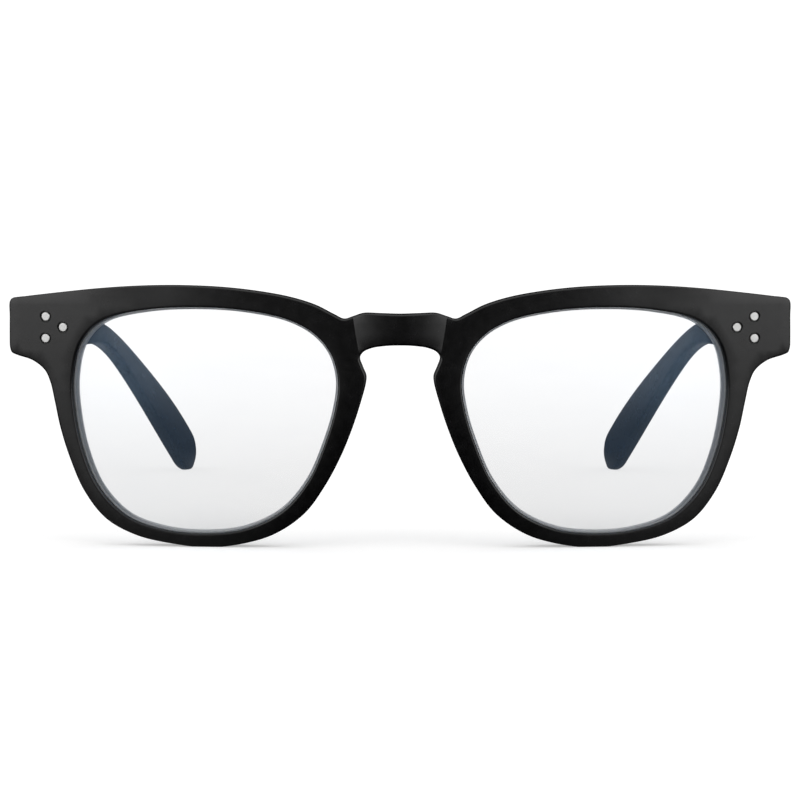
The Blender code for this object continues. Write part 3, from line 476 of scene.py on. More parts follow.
def grid_points(loops, pitch):
    """Staggered points inside the first loop, outside the others and clear of them all."""
    row_pitch = pitch * 0.87
    low, high = loops[0].min(0), loops[0].max(0)
    half_columns = int((high[0] - low[0]) / pitch / 2) + 2
    row_count = int((high[1] - low[1]) / row_pitch) + 2
    middle = 0.5 * (low[0] + high[0])
    points = np.array([(middle + (i + 0.5 * (j % 2)) * pitch, low[1] + (j + 0.5) * pitch * 0.87)
                       for j in range(row_count + 1)
                       for i in range(-half_columns, half_columns + 1)])
    keep = inside(points, loops[0])
    for loop in loops[1:]:
        keep &= ~inside(points, loop)
    points = points[keep]
    for loop in loops:
        points = points[distance_to(points, loop) > 0.42 * pitch]
    return points


# ===================================================================
# front frame
# ===================================================================
def round_stations(segs, face_depth, direction):
    """(inset, depth) stations of a quarter round, from the face to the wall."""
    angles = [0.5 * math.pi * k / segs for k in range(segs + 1)]
    return [(EDGE_ROUND * (1 - math.sin(a)), face_depth + direction * EDGE_ROUND * (1 - math.cos(a)))
            for a in angles]


def add_creases(loop, loop_total, extra, crease_ends):
    """Clear stray grid points off the creases and lay a chain of points along each."""
    for a, b in crease_ends:
        start, run = loop[a], loop[b] - loop[a]
        share = np.clip(((extra - start) @ run) / (run @ run), 0, 1)
        away = np.hypot(*(extra - (start + share[:, None] * run)).T)
        extra = extra[away > 0.35 * FRONT_PITCH]
    creases = []
    for a, b in crease_ends:
        start, run = loop[a], loop[b] - loop[a]
        pieces = max(2, int(np.linalg.norm(run) / FRONT_PITCH) + 1)
        line = np.array([start + run * k / pieces for k in range(1, pieces)])
        line[:, 0] = np.sign(start[0]) * crease_x(line[:, 1])
        first = loop_total + len(extra)
        extra = np.vstack([extra, line])
        chain = [a] + list(range(first, first + len(line))) + [b]
        creases += list(zip(chain, chain[1:]))
    return extra, creases


def front_mesh():
    outer, crease_ends = outer_loop()
    front = round_stations(ROUND_SEGS, 0.0, 1)
    back = round_stations(ROUND_SEGS - 1, RIM_THICK, -1)[::-1]
    groove = [(0.0, GROOVE_MID - GROOVE_HALF), (GROOVE_DEPTH, GROOVE_MID),
              (0.0, GROOVE_MID + GROOVE_HALF)]
    # (loop, stations of its wall, direction from the wall into the acetate)
    walls = [(outer, front + back, -1)]
    walls += [(opening_loop(FRONT_STEP, FRONT_TURN, side), front + groove + back, 1)
              for side, _ in SIDES]
    verts, faces, front_rings, back_rings = [], [], [], []
    for loop, stations, into in walls:
        start = len(verts)
        rings = [offset(loop, into * inset) for inset, _ in stations]
        for ring, (_, depth) in zip(rings, stations):
            verts.extend(place(p[0], p[1], depth) for p in ring)
        faces += bands(len(loop), len(stations), start, flip=into < 0)
        front_rings.append((start, rings[0]))
        back_rings.append((start + (len(rings) - 1) * len(loop), rings[-1]))

    for rings, depth in ((front_rings, 0.0), (back_rings, RIM_THICK)):
        is_front = rings is front_rings
        loops = [loop for _, loop in rings]
        extra = grid_points(loops, FRONT_PITCH)
        index = [start + i for start, loop in rings for i in range(len(loop))]
        creases = []
        if is_front:
            extra, creases = add_creases(loops[0], len(index), extra, crease_ends)
        index += list(range(len(verts), len(verts) + len(extra)))
        verts.extend(place(p[0], p[1], depth) for p in extra)
        for triangle in cap_triangles(loops, extra, creases):
            face = tuple(index[i] for i in triangle)
            faces.append(face if is_front else face[::-1])
    return verts, faces


# ===================================================================
# lenses and nose pads
# ===================================================================
def lens_mesh(side):
    """Lens with small chamfers; the third value is 1 on the ground faces of the edge."""
    loop = opening_loop(LENS_STEP, LENS_TURN, side)
    # (outward offset, depth) from the front face over the bevel tip to the back face
    stations = [(-LENS_EASE - LENS_CHAMFER_FRONT, LENS_FRONT),
                (-LENS_EASE, LENS_FRONT + LENS_CHAMFER_FRONT),
                (-LENS_EASE, LENS_FRONT + 0.25),
                (LENS_TIP, GROOVE_MID - 0.05),
                (LENS_TIP, GROOVE_MID + 0.05),
                (-LENS_EASE, LENS_BACK - 0.35),
                (-LENS_EASE, LENS_BACK - LENS_CHAMFER_BACK),
                (-LENS_EASE - LENS_CHAMFER_BACK, LENS_BACK)]
    clear_bands = (2, 3)    # front slope and flat of the bevel
    verts, count = [], len(loop)
    for out, depth in stations:
        verts.extend(place(p[0], p[1], depth) for p in offset(loop, out))
    faces = bands(count, len(stations), flip=True)
    ground = [0 if k in clear_bands else 1 for k in range(len(stations) - 1) for _ in range(count)]
    for start, (out, depth) in ((0, stations[0]), ((len(stations) - 1) * count, stations[-1])):
        rim = offset(loop, out)
        extra = grid_points([rim], LENS_PITCH)
        base = len(verts)
        verts.extend(place(p[0], p[1], depth) for p in extra)
        for triangle in cap_triangles([rim], extra):
            face = tuple(start + i if i < count else base + i - count for i in triangle)
            faces.append(face[::-1] if start else face)
            ground.append(0)
    return verts, faces, ground


def crown_shape():
    """Smooth cross-section through PAD_CROWN; its two upright sides stay straight."""
    crown = np.array(PAD_CROWN)
    shape = [crown[0]]
    for a, b, c, d in zip(crown, crown[1:], crown[2:], crown[3:]):
        for k in range(PAD_ARC_STEPS):
            t = k / PAD_ARC_STEPS
            shape.append(0.5 * (2 * b + (c - a) * t + (2 * a - 5 * b + 4 * c - d) * t * t
                                + (3 * b - a - 3 * c + d) * t ** 3))
    shape = np.array(shape + [crown[-2], crown[-1]])
    shape[:, 0] = np.clip(shape[:, 0], -1.0, 1.0)
    shape[:, 1] = np.clip(shape[:, 1], 0.0, 1.0)
    return shape


def pad_mesh():
    """Crowned +X pad, flat on its glue face, with its two ends turned over."""
    path = catmull(PAD_PATH, False)[:-1]
    length = np.concatenate([[0], np.cumsum(np.hypot(*np.diff(path, axis=0).T))])
    shape = crown_shape()
    verts, reach = [], 0.02      # reach either way for the path's direction
    for k in range(-PAD_END_STEPS, PAD_STATIONS + PAD_END_STEPS + 1):
        share = min(1.0, max(0.0, k / PAD_STATIONS))
        over = max(0, -k, k - PAD_STATIONS) / PAD_END_STEPS
        shrink = math.sqrt(max(0.0, 1 - over * over)) * 0.97 + 0.03
        if over:
            setback = PAD_END_SETBACK * math.sin(0.5 * math.pi * over) - PAD_END_SETBACK
            share += setback * (1 if k > PAD_STATIONS / 2 else -1)
            share = min(1.0, max(0.0, share))
        centre = row_at(share * length[-1], length, path)
        ahead = row_at(min(1, share + reach) * length[-1], length, path)
        behind = row_at(max(0, share - reach) * length[-1], length, path)
        along = (ahead - behind) / np.linalg.norm(ahead - behind)
        across = np.array([along[1], -along[0]])
        bell = max(0.0, math.sin(math.pi * (0.04 + 0.92 * share))) ** 0.65
        half = PAD_HALF * (0.45 + 0.55 * bell) * shrink
        proud = PAD_PROUD * bell * shrink
        for wide, high in shape:
            spot = centre + across * (wide * half + PAD_LEAN * high * proud)
            verts.append(place(spot[0], spot[1], RIM_THICK + BOND + high * proud))
    count = len(shape)
    rings = len(verts) // count
    return verts, bands(count, rings) + end_caps(count, rings)


# ===================================================================
# temples (+X side)
# ===================================================================
TEMPLE_Y = HINGE_Y - TEMPLE_AHEAD
TEMPLE_START = np.array([TEMPLE_X, TEMPLE_Y, TEMPLE_Z])
STRAIGHT_RUN = np.array(BEND_AT) - TEMPLE_START
STRAIGHT = float(np.linalg.norm(STRAIGHT_RUN))
TEMPLE_LEN = STRAIGHT + TAIL_LEN


def temple_path():
    """Distances along the middle line, its points, its directions and its inward angles."""
    x, y, z = STRAIGHT_RUN / STRAIGHT
    down = math.degrees(math.atan2(-z, math.hypot(x, y)))
    inward = math.degrees(math.atan2(-x, y))
    dist = np.linspace(0, TEMPLE_LEN, PATH_SAMPLES)
    bend = np.array([smooth((v - (STRAIGHT - BEND_LEN / 2)) / BEND_LEN) for v in dist])
    tail = np.clip((dist - STRAIGHT) / TAIL_LEN, 0, 1)
    down, inward = (np.radians(first + (turned - first) * bend + (last - turned) * tail)
                    for first, (turned, last) in ((down, TAIL_DOWN), (inward, TAIL_IN)))
    heading = np.stack([-np.sin(inward) * np.cos(down), np.cos(inward) * np.cos(down),
                        -np.sin(down)], 1)
    step = dist[1] - dist[0]
    moves = np.cumsum(0.5 * (heading[1:] + heading[:-1]) * step, 0)
    return dist, TEMPLE_START + np.vstack([[0, 0, 0], moves]), heading, inward


PATH_DIST, PATH_POINTS, PATH_HEADINGS, PATH_INWARD = temple_path()


def temple_at(along):
    """Middle of the temple and its directions: along, outward and up."""
    centre = row_at(along, PATH_DIST, PATH_POINTS)
    heading = row_at(along, PATH_DIST, PATH_HEADINGS)
    heading /= np.linalg.norm(heading)
    inward = np.interp(along, PATH_DIST, PATH_INWARD)
    outward = np.array([math.cos(inward), math.sin(inward), 0.0])
    up = np.cross(outward, heading)
    up *= math.copysign(1, up[2])
    return centre, heading, outward, up


def temple_size(along):
    """Height and thickness."""
    if along < STRAIGHT:
        share = min(1.0, along / (NARROW_SHARE * STRAIGHT))
        height = HINGE_HEIGHT + (BEND_HEIGHT - HINGE_HEIGHT) * share
    else:
        share = smooth((along - STRAIGHT) / (TAIL_LEN - 10))
        height = BEND_HEIGHT + (PADDLE_HEIGHT - BEND_HEIGHT) * share
    thick = HINGE_THICK + (TIP_THICK - HINGE_THICK) * along / TEMPLE_LEN
    into_tip = min(0.9975, max(0.0, (along - (TEMPLE_LEN - TIP_LEN)) / TIP_LEN))
    shrink = math.sqrt(1 - into_tip * into_tip)
    return height * shrink, thick * (0.30 + 0.70 * shrink)


def section(height, thick):
    """Rounded rectangle (outward, up), counter-clockwise."""
    radius = min(1.05, 0.42 * thick, 0.48 * height)
    points = []
    for x, z, start in ((1, 1, 0), (-1, 1, 90), (-1, -1, 180), (1, -1, 270)):
        for k in range(TEMPLE_CORNER_SEGS + 1):
            angle = math.radians(start + 90 * k / TEMPLE_CORNER_SEGS)
            points.append((x * (thick / 2 - radius) + radius * math.cos(angle),
                           z * (height / 2 - radius) + radius * math.sin(angle)))
    return points


def temple_stations():
    """Long steps on the straight, short ones round the bend and over the rounded tip."""
    tip = [TEMPLE_LEN - TIP_LEN * (1 - math.sin(math.radians(a))) for a in range(0, 88, 6)]
    stations = [0.0]
    # (where the run ends, step)
    for end, step in ((STRAIGHT - 12, 3.9), (STRAIGHT + 14, 1.11), (tip[0] - 2.0, 1.65)):
        start = stations[-1]
        count = max(1, int(round((end - start) / step)))
        stations += [start + (end - start) * (k + 1) / count for k in range(count)]
    return stations + tip


def temple_mesh():
    verts, stations = [], temple_stations()
    butt = -HINGE_OFF + TEMPLE_END_GAP
    for i, along in enumerate(stations):
        centre, heading, outward, up = temple_at(along)
        ring = section(*temple_size(along))
        for out, high in ring:
            point = centre + outward * out + up * high
            if i == 0:
                # slide the end section along the temple onto the butt plane
                depth = -(point[0] - HINGE_X) * END_SIN + (point[1] - HINGE_Y) * END_COS
                rate = -heading[0] * END_SIN + heading[1] * END_COS
                point = point + heading * (butt - depth) / rate
            verts.append((point[0], point[1], max(0.0, point[2])))
    count, rings = len(ring), len(stations)
    caps = [cap[::-1] for cap in end_caps(count, rings)]
    return verts, bands(count, rings, flip=True) + caps


def wire_point(along):
    """Core wire: dodges the rivets below, then follows the temple's middle."""
    centre, _, outward, up = temple_at(along)
    dodge = 1 - smooth(along / WIRE_DODGE_LEN)
    return centre + outward * (WIRE_DODGE_OUT * dodge) + up * (WIRE_DODGE_UP * dodge)


def wire_tube(radius, start, end, steps, around):
    """Tube along the core wire; it runs on straight ahead of the temple's start."""
    verts = []
    for k in range(steps + 1):
        along = start + (end - start) * k / steps
        on_path = max(along, 0.0)
        centre = wire_point(on_path)
        heading = wire_point(on_path + 0.5) - centre
        heading /= np.linalg.norm(heading)
        if along < 0:
            centre = centre + heading * along
        across = np.cross(heading, [0, 0, 1.0])
        across /= np.linalg.norm(across)
        up = np.cross(across, heading)
        for i in range(around):
            angle = 2 * math.pi * i / around
            verts.append(tuple(centre + across * (radius * math.cos(angle))
                               + up * (radius * math.sin(angle))))
    return verts, bands(around, steps + 1) + end_caps(around, steps + 1)


# ===================================================================
# hinge shapes
# ===================================================================
def knuckle_profile(tail, low, high, segs=40):
    """Barrel with a strap between low and high that reaches to tail."""
    start = math.degrees(math.asin(high / KNUCKLE_R))
    end = 360 + math.degrees(math.asin(low / KNUCKLE_R))
    points = []
    for k in range(segs + 1):
        angle = math.radians(start + (end - start) * k / segs)
        points.append((KNUCKLE_R * math.cos(angle), KNUCKLE_R * math.sin(angle)))
    return points + [(tail, low), (tail, high)]


def knuckle_spans():
    """(bottom, top) of the five knuckles, from the lowest up."""
    foot = -(5 * KNUCKLE_H + 4 * KNUCKLE_GAP) / 2
    bottoms = [foot + k * (KNUCKLE_H + KNUCKLE_GAP) for k in range(5)]
    return [(bottom, bottom + KNUCKLE_H) for bottom in bottoms]


KNUCKLES = knuckle_spans()


def front_rivet_frame(name):
    """(across, up, depth) about the axis of a front rivet."""
    x, z = RIVETS[name]
    face_x, face_y, _ = place(x, z, 0.0)
    out = (face_x - HINGE_X) * END_COS + (face_y - HINGE_Y) * END_SIN
    up = z - HINGE_Z
    return out, lambda p, q, depth: end_frame(out + p, depth, up + q)


def arm_rivet_frame(along):
    """(along, up, outward) about the axis of a temple rivet."""
    return lambda p, q, depth: hinge_frame(depth, along + p, q)


# ===================================================================
# objects
# ===================================================================
def raw(name, verts, faces):
    mesh = bpy.data.meshes.new(name)
    mesh.from_pydata([(x * MM, (y - Y_ORIGIN) * MM, z * MM) for x, y, z in verts], [],
                     [tuple(face) for face in faces])
    obj = bpy.data.objects.new(name, mesh)
    bpy.context.scene.collection.objects.link(obj)
    bm = bmesh.new()
    bm.from_mesh(mesh)
    bmesh.ops.recalc_face_normals(bm, faces=bm.faces)
    bm.to_mesh(mesh)
    bm.free()
    return obj


def mirrored(verts, side):
    return [(p[0] * side, p[1], p[2]) for p in verts]


def solid(name, shape, side=1):
    """Object from a shape drawn on the +X side."""
    verts, faces = shape
    return raw(name, mirrored(verts, side), faces)


def carve(obj, shape, side=1, operation="DIFFERENCE"):
    """Boolean with a shape drawn on the +X side, applied at once."""
    cutter = solid("tool", shape, side)
    modifier = obj.modifiers.new("b", "BOOLEAN")
    modifier.operation = operation
    modifier.solver = "EXACT"
    modifier.object = cutter
    depsgraph = bpy.context.evaluated_depsgraph_get()
    mesh = bpy.data.meshes.new_from_object(obj.evaluated_get(depsgraph))
    obj.modifiers.clear()
    old = obj.data
    obj.data = mesh
    bpy.data.meshes.remove(old)
    cutter_mesh = cutter.data
    bpy.data.objects.remove(cutter)
    bpy.data.meshes.remove(cutter_mesh)


def piece(obj, body, slot, *materials):
    mesh = obj.data
    mesh.name = obj.name
    mesh.shade_smooth()
    mesh.set_sharp_from_angle(angle=math.radians(30.0))
    mesh.materials.clear()
    for material in materials:
        mesh.materials.append(material)
    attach(obj, body)
    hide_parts(obj.name.removesuffix("_look"))


def keep_creases_sharp(mesh):
    """The two facet lines where the bridge meets the rims stay crisp."""
    coords = np.zeros(len(mesh.vertices) * 3)
    mesh.vertices.foreach_get("co", coords)
    coords = coords.reshape(-1, 3) / MM
    x, y, z = coords[:, 0], coords[:, 1] + Y_ORIGIN, coords[:, 2]
    share = (z - CREASE_LOW[1]) / (CREASE_TOP[1] - CREASE_LOW[1])
    # the ends lie on the rounded edge, so they are matched more loosely
    reach = np.where((share > 0.08) & (share < 0.92), 0.04, 0.28)
    on_crease = ((np.abs(np.abs(x) - crease_x(z)) < reach)
                 & (share > -0.04) & (share < 1.04) & (y < 2.0))
    edges = np.zeros(len(mesh.edges) * 2, np.int32)
    mesh.edges.foreach_get("vertices", edges)
    edges = edges.reshape(-1, 2)
    attribute = mesh.attributes["sharp_edge"]
    sharp = np.zeros(len(mesh.edges), bool)
    attribute.data.foreach_get("value", sharp)
    sharp |= on_crease[edges[:, 0]] & on_crease[edges[:, 1]]
    attribute.data.foreach_set("value", sharp)


def front_piece():
    front = solid("front_frame_look", front_mesh())
    # (radius, depth): eased mouth, recess for the head, through hole
    hole = [(0, END_FRONT - 1.0), (RIVET_RECESS_R + 0.10, END_FRONT - 1.0),
            (RIVET_RECESS_R + 0.10, END_FRONT - 0.02), (RIVET_RECESS_R + 0.07, END_FRONT + 0.02),
            (RIVET_RECESS_R, END_FRONT + 0.09), (RIVET_RECESS_R, END_FRONT + RIVET_RECESS),
            (RIVET_HOLE_R, END_FRONT + RIVET_RECESS), (RIVET_HOLE_R, LEAF_BACK + 1.0),
            (0, LEAF_BACK + 1.0)]
    all_verts, all_faces = [], []
    for side, _ in SIDES:
        for name in RIVETS:
            verts, faces = lathe(hole, front_rivet_frame(name)[1], RIVET_SIDES)
            base = len(all_verts)
            all_verts += mirrored(verts, side)
            all_faces += [tuple(base + i for i in face) for face in faces]
    carve(front, (all_verts, all_faces))
    piece(front, "front", "frame_acetate", MATS["frame"])
    keep_creases_sharp(front.data)


def lens_piece(side, tag):
    verts, faces, ground = lens_mesh(side)
    lens = raw(tag + "_lens_look", verts, faces)
    piece(lens, "front", "lens_resin", MATS["lens"], MATS["bevel"])
    lens.data.polygons.foreach_set("material_index", np.array(ground, np.int32))


def add_knuckles(leaf, side, profile, to_frame, spans):
    for low, high in spans:
        knuckle = chamfered(profile, to_frame, low, high, KNUCKLE_CHAMFER)
        carve(leaf, knuckle, side, "UNION")


def front_leaf_pieces(side, tag):
    """Plate behind the end piece with three knuckles, and its three rivets."""
    tip = front_rivet_frame("inner")[0]
    # (out, up) in the end piece's frame: a shield that narrows to the inner rivet
    shield = [(-LEAF_START, -3.55), (-LEAF_START, 3.55), (-3.9, 3.45), (tip - 0.5, 1.55),
              (tip - 1.35, 0.8), (tip - 1.35, -0.8), (tip - 0.5, -1.55), (-3.9, -3.45)]
    plate = chamfered(rounded_poly(shield[::-1], 0.5), lambda out, up, back: end_frame(out, back, up),
                      LEAF_FRONT, LEAF_BACK, 0.08)
    leaf = solid(tag + "_front_hinge_leaf_look", plate, side)
    add_knuckles(leaf, side, knuckle_profile(LEAF_START + 0.55, 0.62, KNUCKLE_R - 0.04),
                 lambda p, q, up: end_frame(-p, -q, up), KNUCKLES[::2])
    carve(leaf, rod(PIN_HOLE_R, -6, 6, end_frame, PIN_SIDES), side)

    # (radius, depth): hole with a countersink at the back of the plate
    hole = [(0, LEAF_FRONT - 1.0), (RIVET_HOLE_R, LEAF_FRONT - 1.0),
            (RIVET_HOLE_R, LEAF_BACK - 0.07), (RIVET_HOLE_R + 0.12, LEAF_BACK + 0.05),
            (RIVET_HOLE_R + 0.12, LEAF_BACK + 1.0), (0, LEAF_BACK + 1.0)]
    # (radius, depth): domed at the front, peened at the back
    body = [(0, END_FRONT + 0.050), (0.60, END_FRONT + 0.050), (0.70, END_FRONT + 0.0505),
            (0.71, END_FRONT + 0.052), (0.76, END_FRONT + 0.080), (0.79, END_FRONT + 0.125),
            (RIVET_R, END_FRONT + 0.19), (RIVET_R, LEAF_BACK + 0.02), (0.745, LEAF_BACK + 0.06),
            (0.68, LEAF_BACK + 0.09), (0.3, LEAF_BACK + 0.10), (0, LEAF_BACK + 0.10)]
    for name in RIVETS:
        to_frame = front_rivet_frame(name)[1]
        carve(leaf, lathe(hole, to_frame, RIVET_SIDES), side)
        rivet = solid("%s_front_rivet_%s_look" % (tag, name),
                      lathe(body, to_frame, RIVET_SIDES), side)
        piece(rivet, "front", "rivet_steel", MATS["rivet"])
    piece(leaf, "front", "hinge_nickel_silver", MATS["leaf"])


def screw_piece(side, tag):
    """Slotted screw down through the knuckles."""
    low, seat = KNUCKLES[0][0], KNUCKLES[-1][1]
    crown = seat + HEAD_H
    # (radius, height)
    profile = [(0, low - 0.12), (PIN_R - 0.12, low - 0.12), (PIN_R, low), (PIN_R, seat + 0.06),
               (HEAD_R - 0.05, seat + 0.06), (HEAD_R, seat + 0.11), (HEAD_R, crown - 0.20),
               (HEAD_R - 0.06, crown - 0.10), (HEAD_R - 0.20, crown - 0.03), (0.5, crown),
               (0, crown)]
    screw = solid(tag + "_hinge_screw_look", lathe(profile, hinge_frame, PIN_SIDES), side)
    slot = [(-2, -SLOT_HALF), (2, -SLOT_HALF), (2, SLOT_HALF), (-2, SLOT_HALF)]
    carve(screw, prism(slot, hinge_frame, crown - SLOT_DEPTH, crown + 1), side)
    piece(screw, "front", "screw_steel", MATS["screw"])


# x of the temple's inner face and of its plate, from the pivot
ARM_INNER = TEMPLE_X - HINGE_THICK / 2 - HINGE_X
ARM_LEAF_IN = ARM_INNER + 0.08
ARM_LEAF_OUT = ARM_LEAF_IN + PLATE


def temple_blank(side, tag):
    """Temple with its knuckle relief, the pocket for the plate and the wire's bore."""
    temple = solid(tag + "_temple_look", temple_mesh(), side)
    relief = [(RELIEF_R * math.cos(math.radians(a)), RELIEF_R * math.sin(math.radians(a)))
              for a in range(0, 181, 5)]
    relief += [(-RELIEF_R, -5.0), (RELIEF_R, -5.0)]
    carve(temple, prism(relief, hinge_frame, -8, 8), side)
    front, rear = LEAF_START - 0.6, ARM_LEAF_END + POCKET_EASE
    half = ARM_LEAF_HALF + POCKET_EASE
    pocket = rounded_poly([(front, -half), (rear, -half), (rear, half), (front, half)], 0.3)
    carve(temple, prism(pocket, crosswise, ARM_INNER - 3, ARM_LEAF_OUT + 0.12), side)
    bore = wire_tube(WIRE_HOLE_R, -1.5, TEMPLE_LEN - WIRE_HOLE_END, steps=60, around=20)
    carve(temple, bore, side)
    return temple


def wire_piece(side, tag, arm):
    shape = wire_tube(WIRE_R, 1.2, TEMPLE_LEN - WIRE_END, steps=90, around=18)
    wire = solid(tag + "_temple_core_wire_look", shape, side)
    piece(wire, arm, "core_nickel_silver", MATS["wire"])


def arm_leaf_blank(side, tag):
    """Plate on the temple's inner face with two knuckles."""
    start, end, half = LEAF_START, ARM_LEAF_END, ARM_LEAF_HALF
    plate = rounded_poly([(start, -half), (end - 1.2, -half), (end, -1.5), (end, 1.5),
                          (end - 1.2, half), (start, half)], 0.5)
    leaf = solid(tag + "_temple_hinge_leaf_look",
                 chamfered(plate, crosswise, ARM_LEAF_IN, ARM_LEAF_OUT, 0.07), side)
    profile = knuckle_profile(start + 0.5, ARM_LEAF_IN + 0.04, ARM_LEAF_OUT - 0.04)
    add_knuckles(leaf, side, profile, lambda p, q, up: hinge_frame(q, p, up), KNUCKLES[1::2])
    carve(leaf, rod(PIN_HOLE_R, -6, 6, hinge_frame, PIN_SIDES), side)
    return leaf


def arm_rivet_piece(side, tag, arm, name, temple, leaf):
    """Drill the temple and its plate, then set the rivet."""
    behind = ARM_RIVETS[name]
    to_frame = arm_rivet_frame(behind)
    along = HINGE_Y + behind - TEMPLE_Y
    outer = temple_at(along)[0][0] - HINGE_X + temple_size(along)[1] / 2
    # (radius, x from the pivot): hole, recess and eased mouth in the outer face
    hole = [(0, -2.0), (ARM_RIVET_HOLE_R, -2.0), (ARM_RIVET_HOLE_R, outer - 0.30),
            (0.93, outer - 0.30), (0.93, outer - 0.06), (1.0, outer + 0.03), (1.0, outer + 1.0),
            (0, outer + 1.0)]
    carve(temple, lathe(hole, to_frame, ARM_RIVET_SIDES), side)
    carve(leaf, rod(ARM_RIVET_HOLE_R, -2.0, 2.5, to_frame, ARM_RIVET_SIDES), side)
    body = [(0, ARM_LEAF_IN - 0.06), (0.50, ARM_LEAF_IN - 0.06), (0.62, ARM_LEAF_IN - 0.01),
            (0.7, ARM_LEAF_IN + 0.07), (0.7, outer - 0.30), (0.685, outer - 0.21),
            (0.62, outer - 0.13), (0.5, outer - 0.085), (0.3, outer - 0.058), (0, outer - 0.05)]
    rivet = solid("%s_temple_rivet_%s_look" % (tag, name),
                  lathe(body, to_frame, ARM_RIVET_SIDES), side)
    piece(rivet, arm, "rivet_steel", MATS["rivet"])


def side_pieces(side, tag):
    lens_piece(side, tag)
    pad = solid(tag + "_nose_pad_look", pad_mesh(), side)
    piece(pad, "front", "pad_acetate", MATS["pad"])
    front_leaf_pieces(side, tag)
    screw_piece(side, tag)

    arm = tag + "_temple_arm"
    temple = temple_blank(side, tag)
    wire_piece(side, tag, arm)
    leaf = arm_leaf_blank(side, tag)
    for name in ARM_RIVETS:
        arm_rivet_piece(side, tag, arm, name, temple, leaf)
    piece(leaf, arm, "hinge_nickel_silver", MATS["leaf"])
    piece(temple, arm, "temple_acetate", MATS["temple"])


# ===================================================================
# materials
# ===================================================================
def colour4(colour):
    if isinstance(colour, (int, float)):
        colour = (colour, colour, colour)
    return (colour[0], colour[1], colour[2], 1.0)


class Tree:
    """Short-hand for building a node tree; the helpers return output sockets."""

    def __init__(self, owner):
        owner.use_nodes = True
        self.tree = owner.node_tree
        self.tree.nodes.clear()

    def node(self, kind, values=None, **props):
        node = self.tree.nodes.new(kind)
        for key, value in props.items():
            setattr(node, key, value)
        for key, value in (values or {}).items():
            socket = node.inputs[key]
            if isinstance(value, bpy.types.NodeSocket):
                self.tree.links.new(value, socket)
            else:
                socket.default_value = value
        return node

    def coords(self, kind="Object"):
        return self.node("ShaderNodeTexCoord").outputs[kind]

    def split(self, vector):
        return self.node("ShaderNodeSeparateXYZ", {0: vector}).outputs

    def math(self, operation, first, second=0.0):
        return self.node("ShaderNodeMath", {0: first, 1: second}, operation=operation).outputs[0]

    def scaled(self, value, times, plus, clamp=False):
        return self.node("ShaderNodeMath", {0: value, 1: times, 2: plus},
                         operation="MULTIPLY_ADD", use_clamp=clamp).outputs[0]

    def ramp(self, factor, stops):
        """Linear ramp through (position, colour or grey) stops."""
        node = self.node("ShaderNodeValToRGB", {0: factor})
        elements = node.color_ramp.elements
        while len(elements) > 1:
            elements.remove(elements[-1])
        elements[0].position = stops[0][0]
        elements[0].color = colour4(stops[0][1])
        for position, colour in stops[1:]:
            elements.new(position).color = colour4(colour)
        return node.outputs[0]

    def noise(self, vector, scale, detail, rough):
        return self.node("ShaderNodeTexNoise", {"Vector": vector, "Scale": scale,
                                                "Detail": detail, "Roughness": rough}).outputs[0]

    def span(self, value, source, target):
        """Map the source range onto the target range."""
        return self.node("ShaderNodeMapRange", {0: value, 1: source[0], 2: source[1],
                                                3: target[0], 4: target[1]}).outputs[0]

    def stretch(self, vector, scale):
        return self.node("ShaderNodeVectorMath", {0: vector, 1: scale},
                         operation="MULTIPLY").outputs[0]

    def mix_colour(self, factor, low, high):
        return self.node("ShaderNodeMix", {"Factor": factor, 6: colour4(low), 7: colour4(high)},
                         data_type="RGBA").outputs[2]

    def bump(self, height, strength, distance, under=None):
        values = {"Height": height, "Strength": strength, "Distance": distance}
        if under:
            values["Normal"] = under
        return self.node("ShaderNodeBump", values).outputs[0]

    def shader(self, kind, values):
        return self.node("ShaderNode" + kind, values).outputs[0]

    def mix(self, factor, first, second):
        return self.shader("MixShader", {0: factor, 1: first, 2: second})

    def glow(self, strength):
        return self.shader("Emission", {"Color": (1, 1, 1, 1), "Strength": strength})

    def camera_ray(self):
        return self.node("ShaderNodeLightPath").outputs["Is Camera Ray"]

    def output(self, surface, kind="Material"):
        self.node("ShaderNodeOutput" + kind, {"Surface": surface})


def new_material(name):
    material = bpy.data.materials.new(name)
    return material, Tree(material)


def acetate(name, dark, light, rough, grain=1.0):
    """Black acetate, tumbled to a satin: fine grain, slow waviness, edges polished brighter."""
    material, tree = new_material(name)
    coords = tree.coords()
    slow = tree.noise(coords, scale=95.0, detail=2.0, rough=0.5)
    mid = tree.noise(coords, scale=620.0, detail=3.0, rough=0.55)
    fine = tree.noise(coords, scale=5200.0, detail=2.0, rough=0.6)
    pointed = tree.node("ShaderNodeNewGeometry").outputs["Pointiness"]
    worn = tree.span(pointed, source=(0.52, 0.60), target=(0.0, 1.0))
    cloud = tree.span(mid, source=(0.35, 0.68), target=(0.0, 1.0))
    colour = tree.mix_colour(cloud, dark, light)
    roughness = tree.scaled(mid, times=0.10, plus=rough - 0.05)
    roughness = tree.scaled(fine, times=0.06, plus=roughness)
    roughness = tree.scaled(worn, times=-0.10, plus=roughness)
    normal = tree.bump(slow, strength=0.06, distance=0.00035)
    normal = tree.bump(mid, strength=0.22 * grain, distance=0.00003, under=normal)
    normal = tree.bump(fine, strength=0.30 * grain, distance=0.000006, under=normal)
    tree.output(tree.shader("BsdfPrincipled", {
        "Base Color": colour, "Roughness": roughness, "Normal": normal, "IOR": 1.49,
        "Specular IOR Level": 0.5}))
    return material


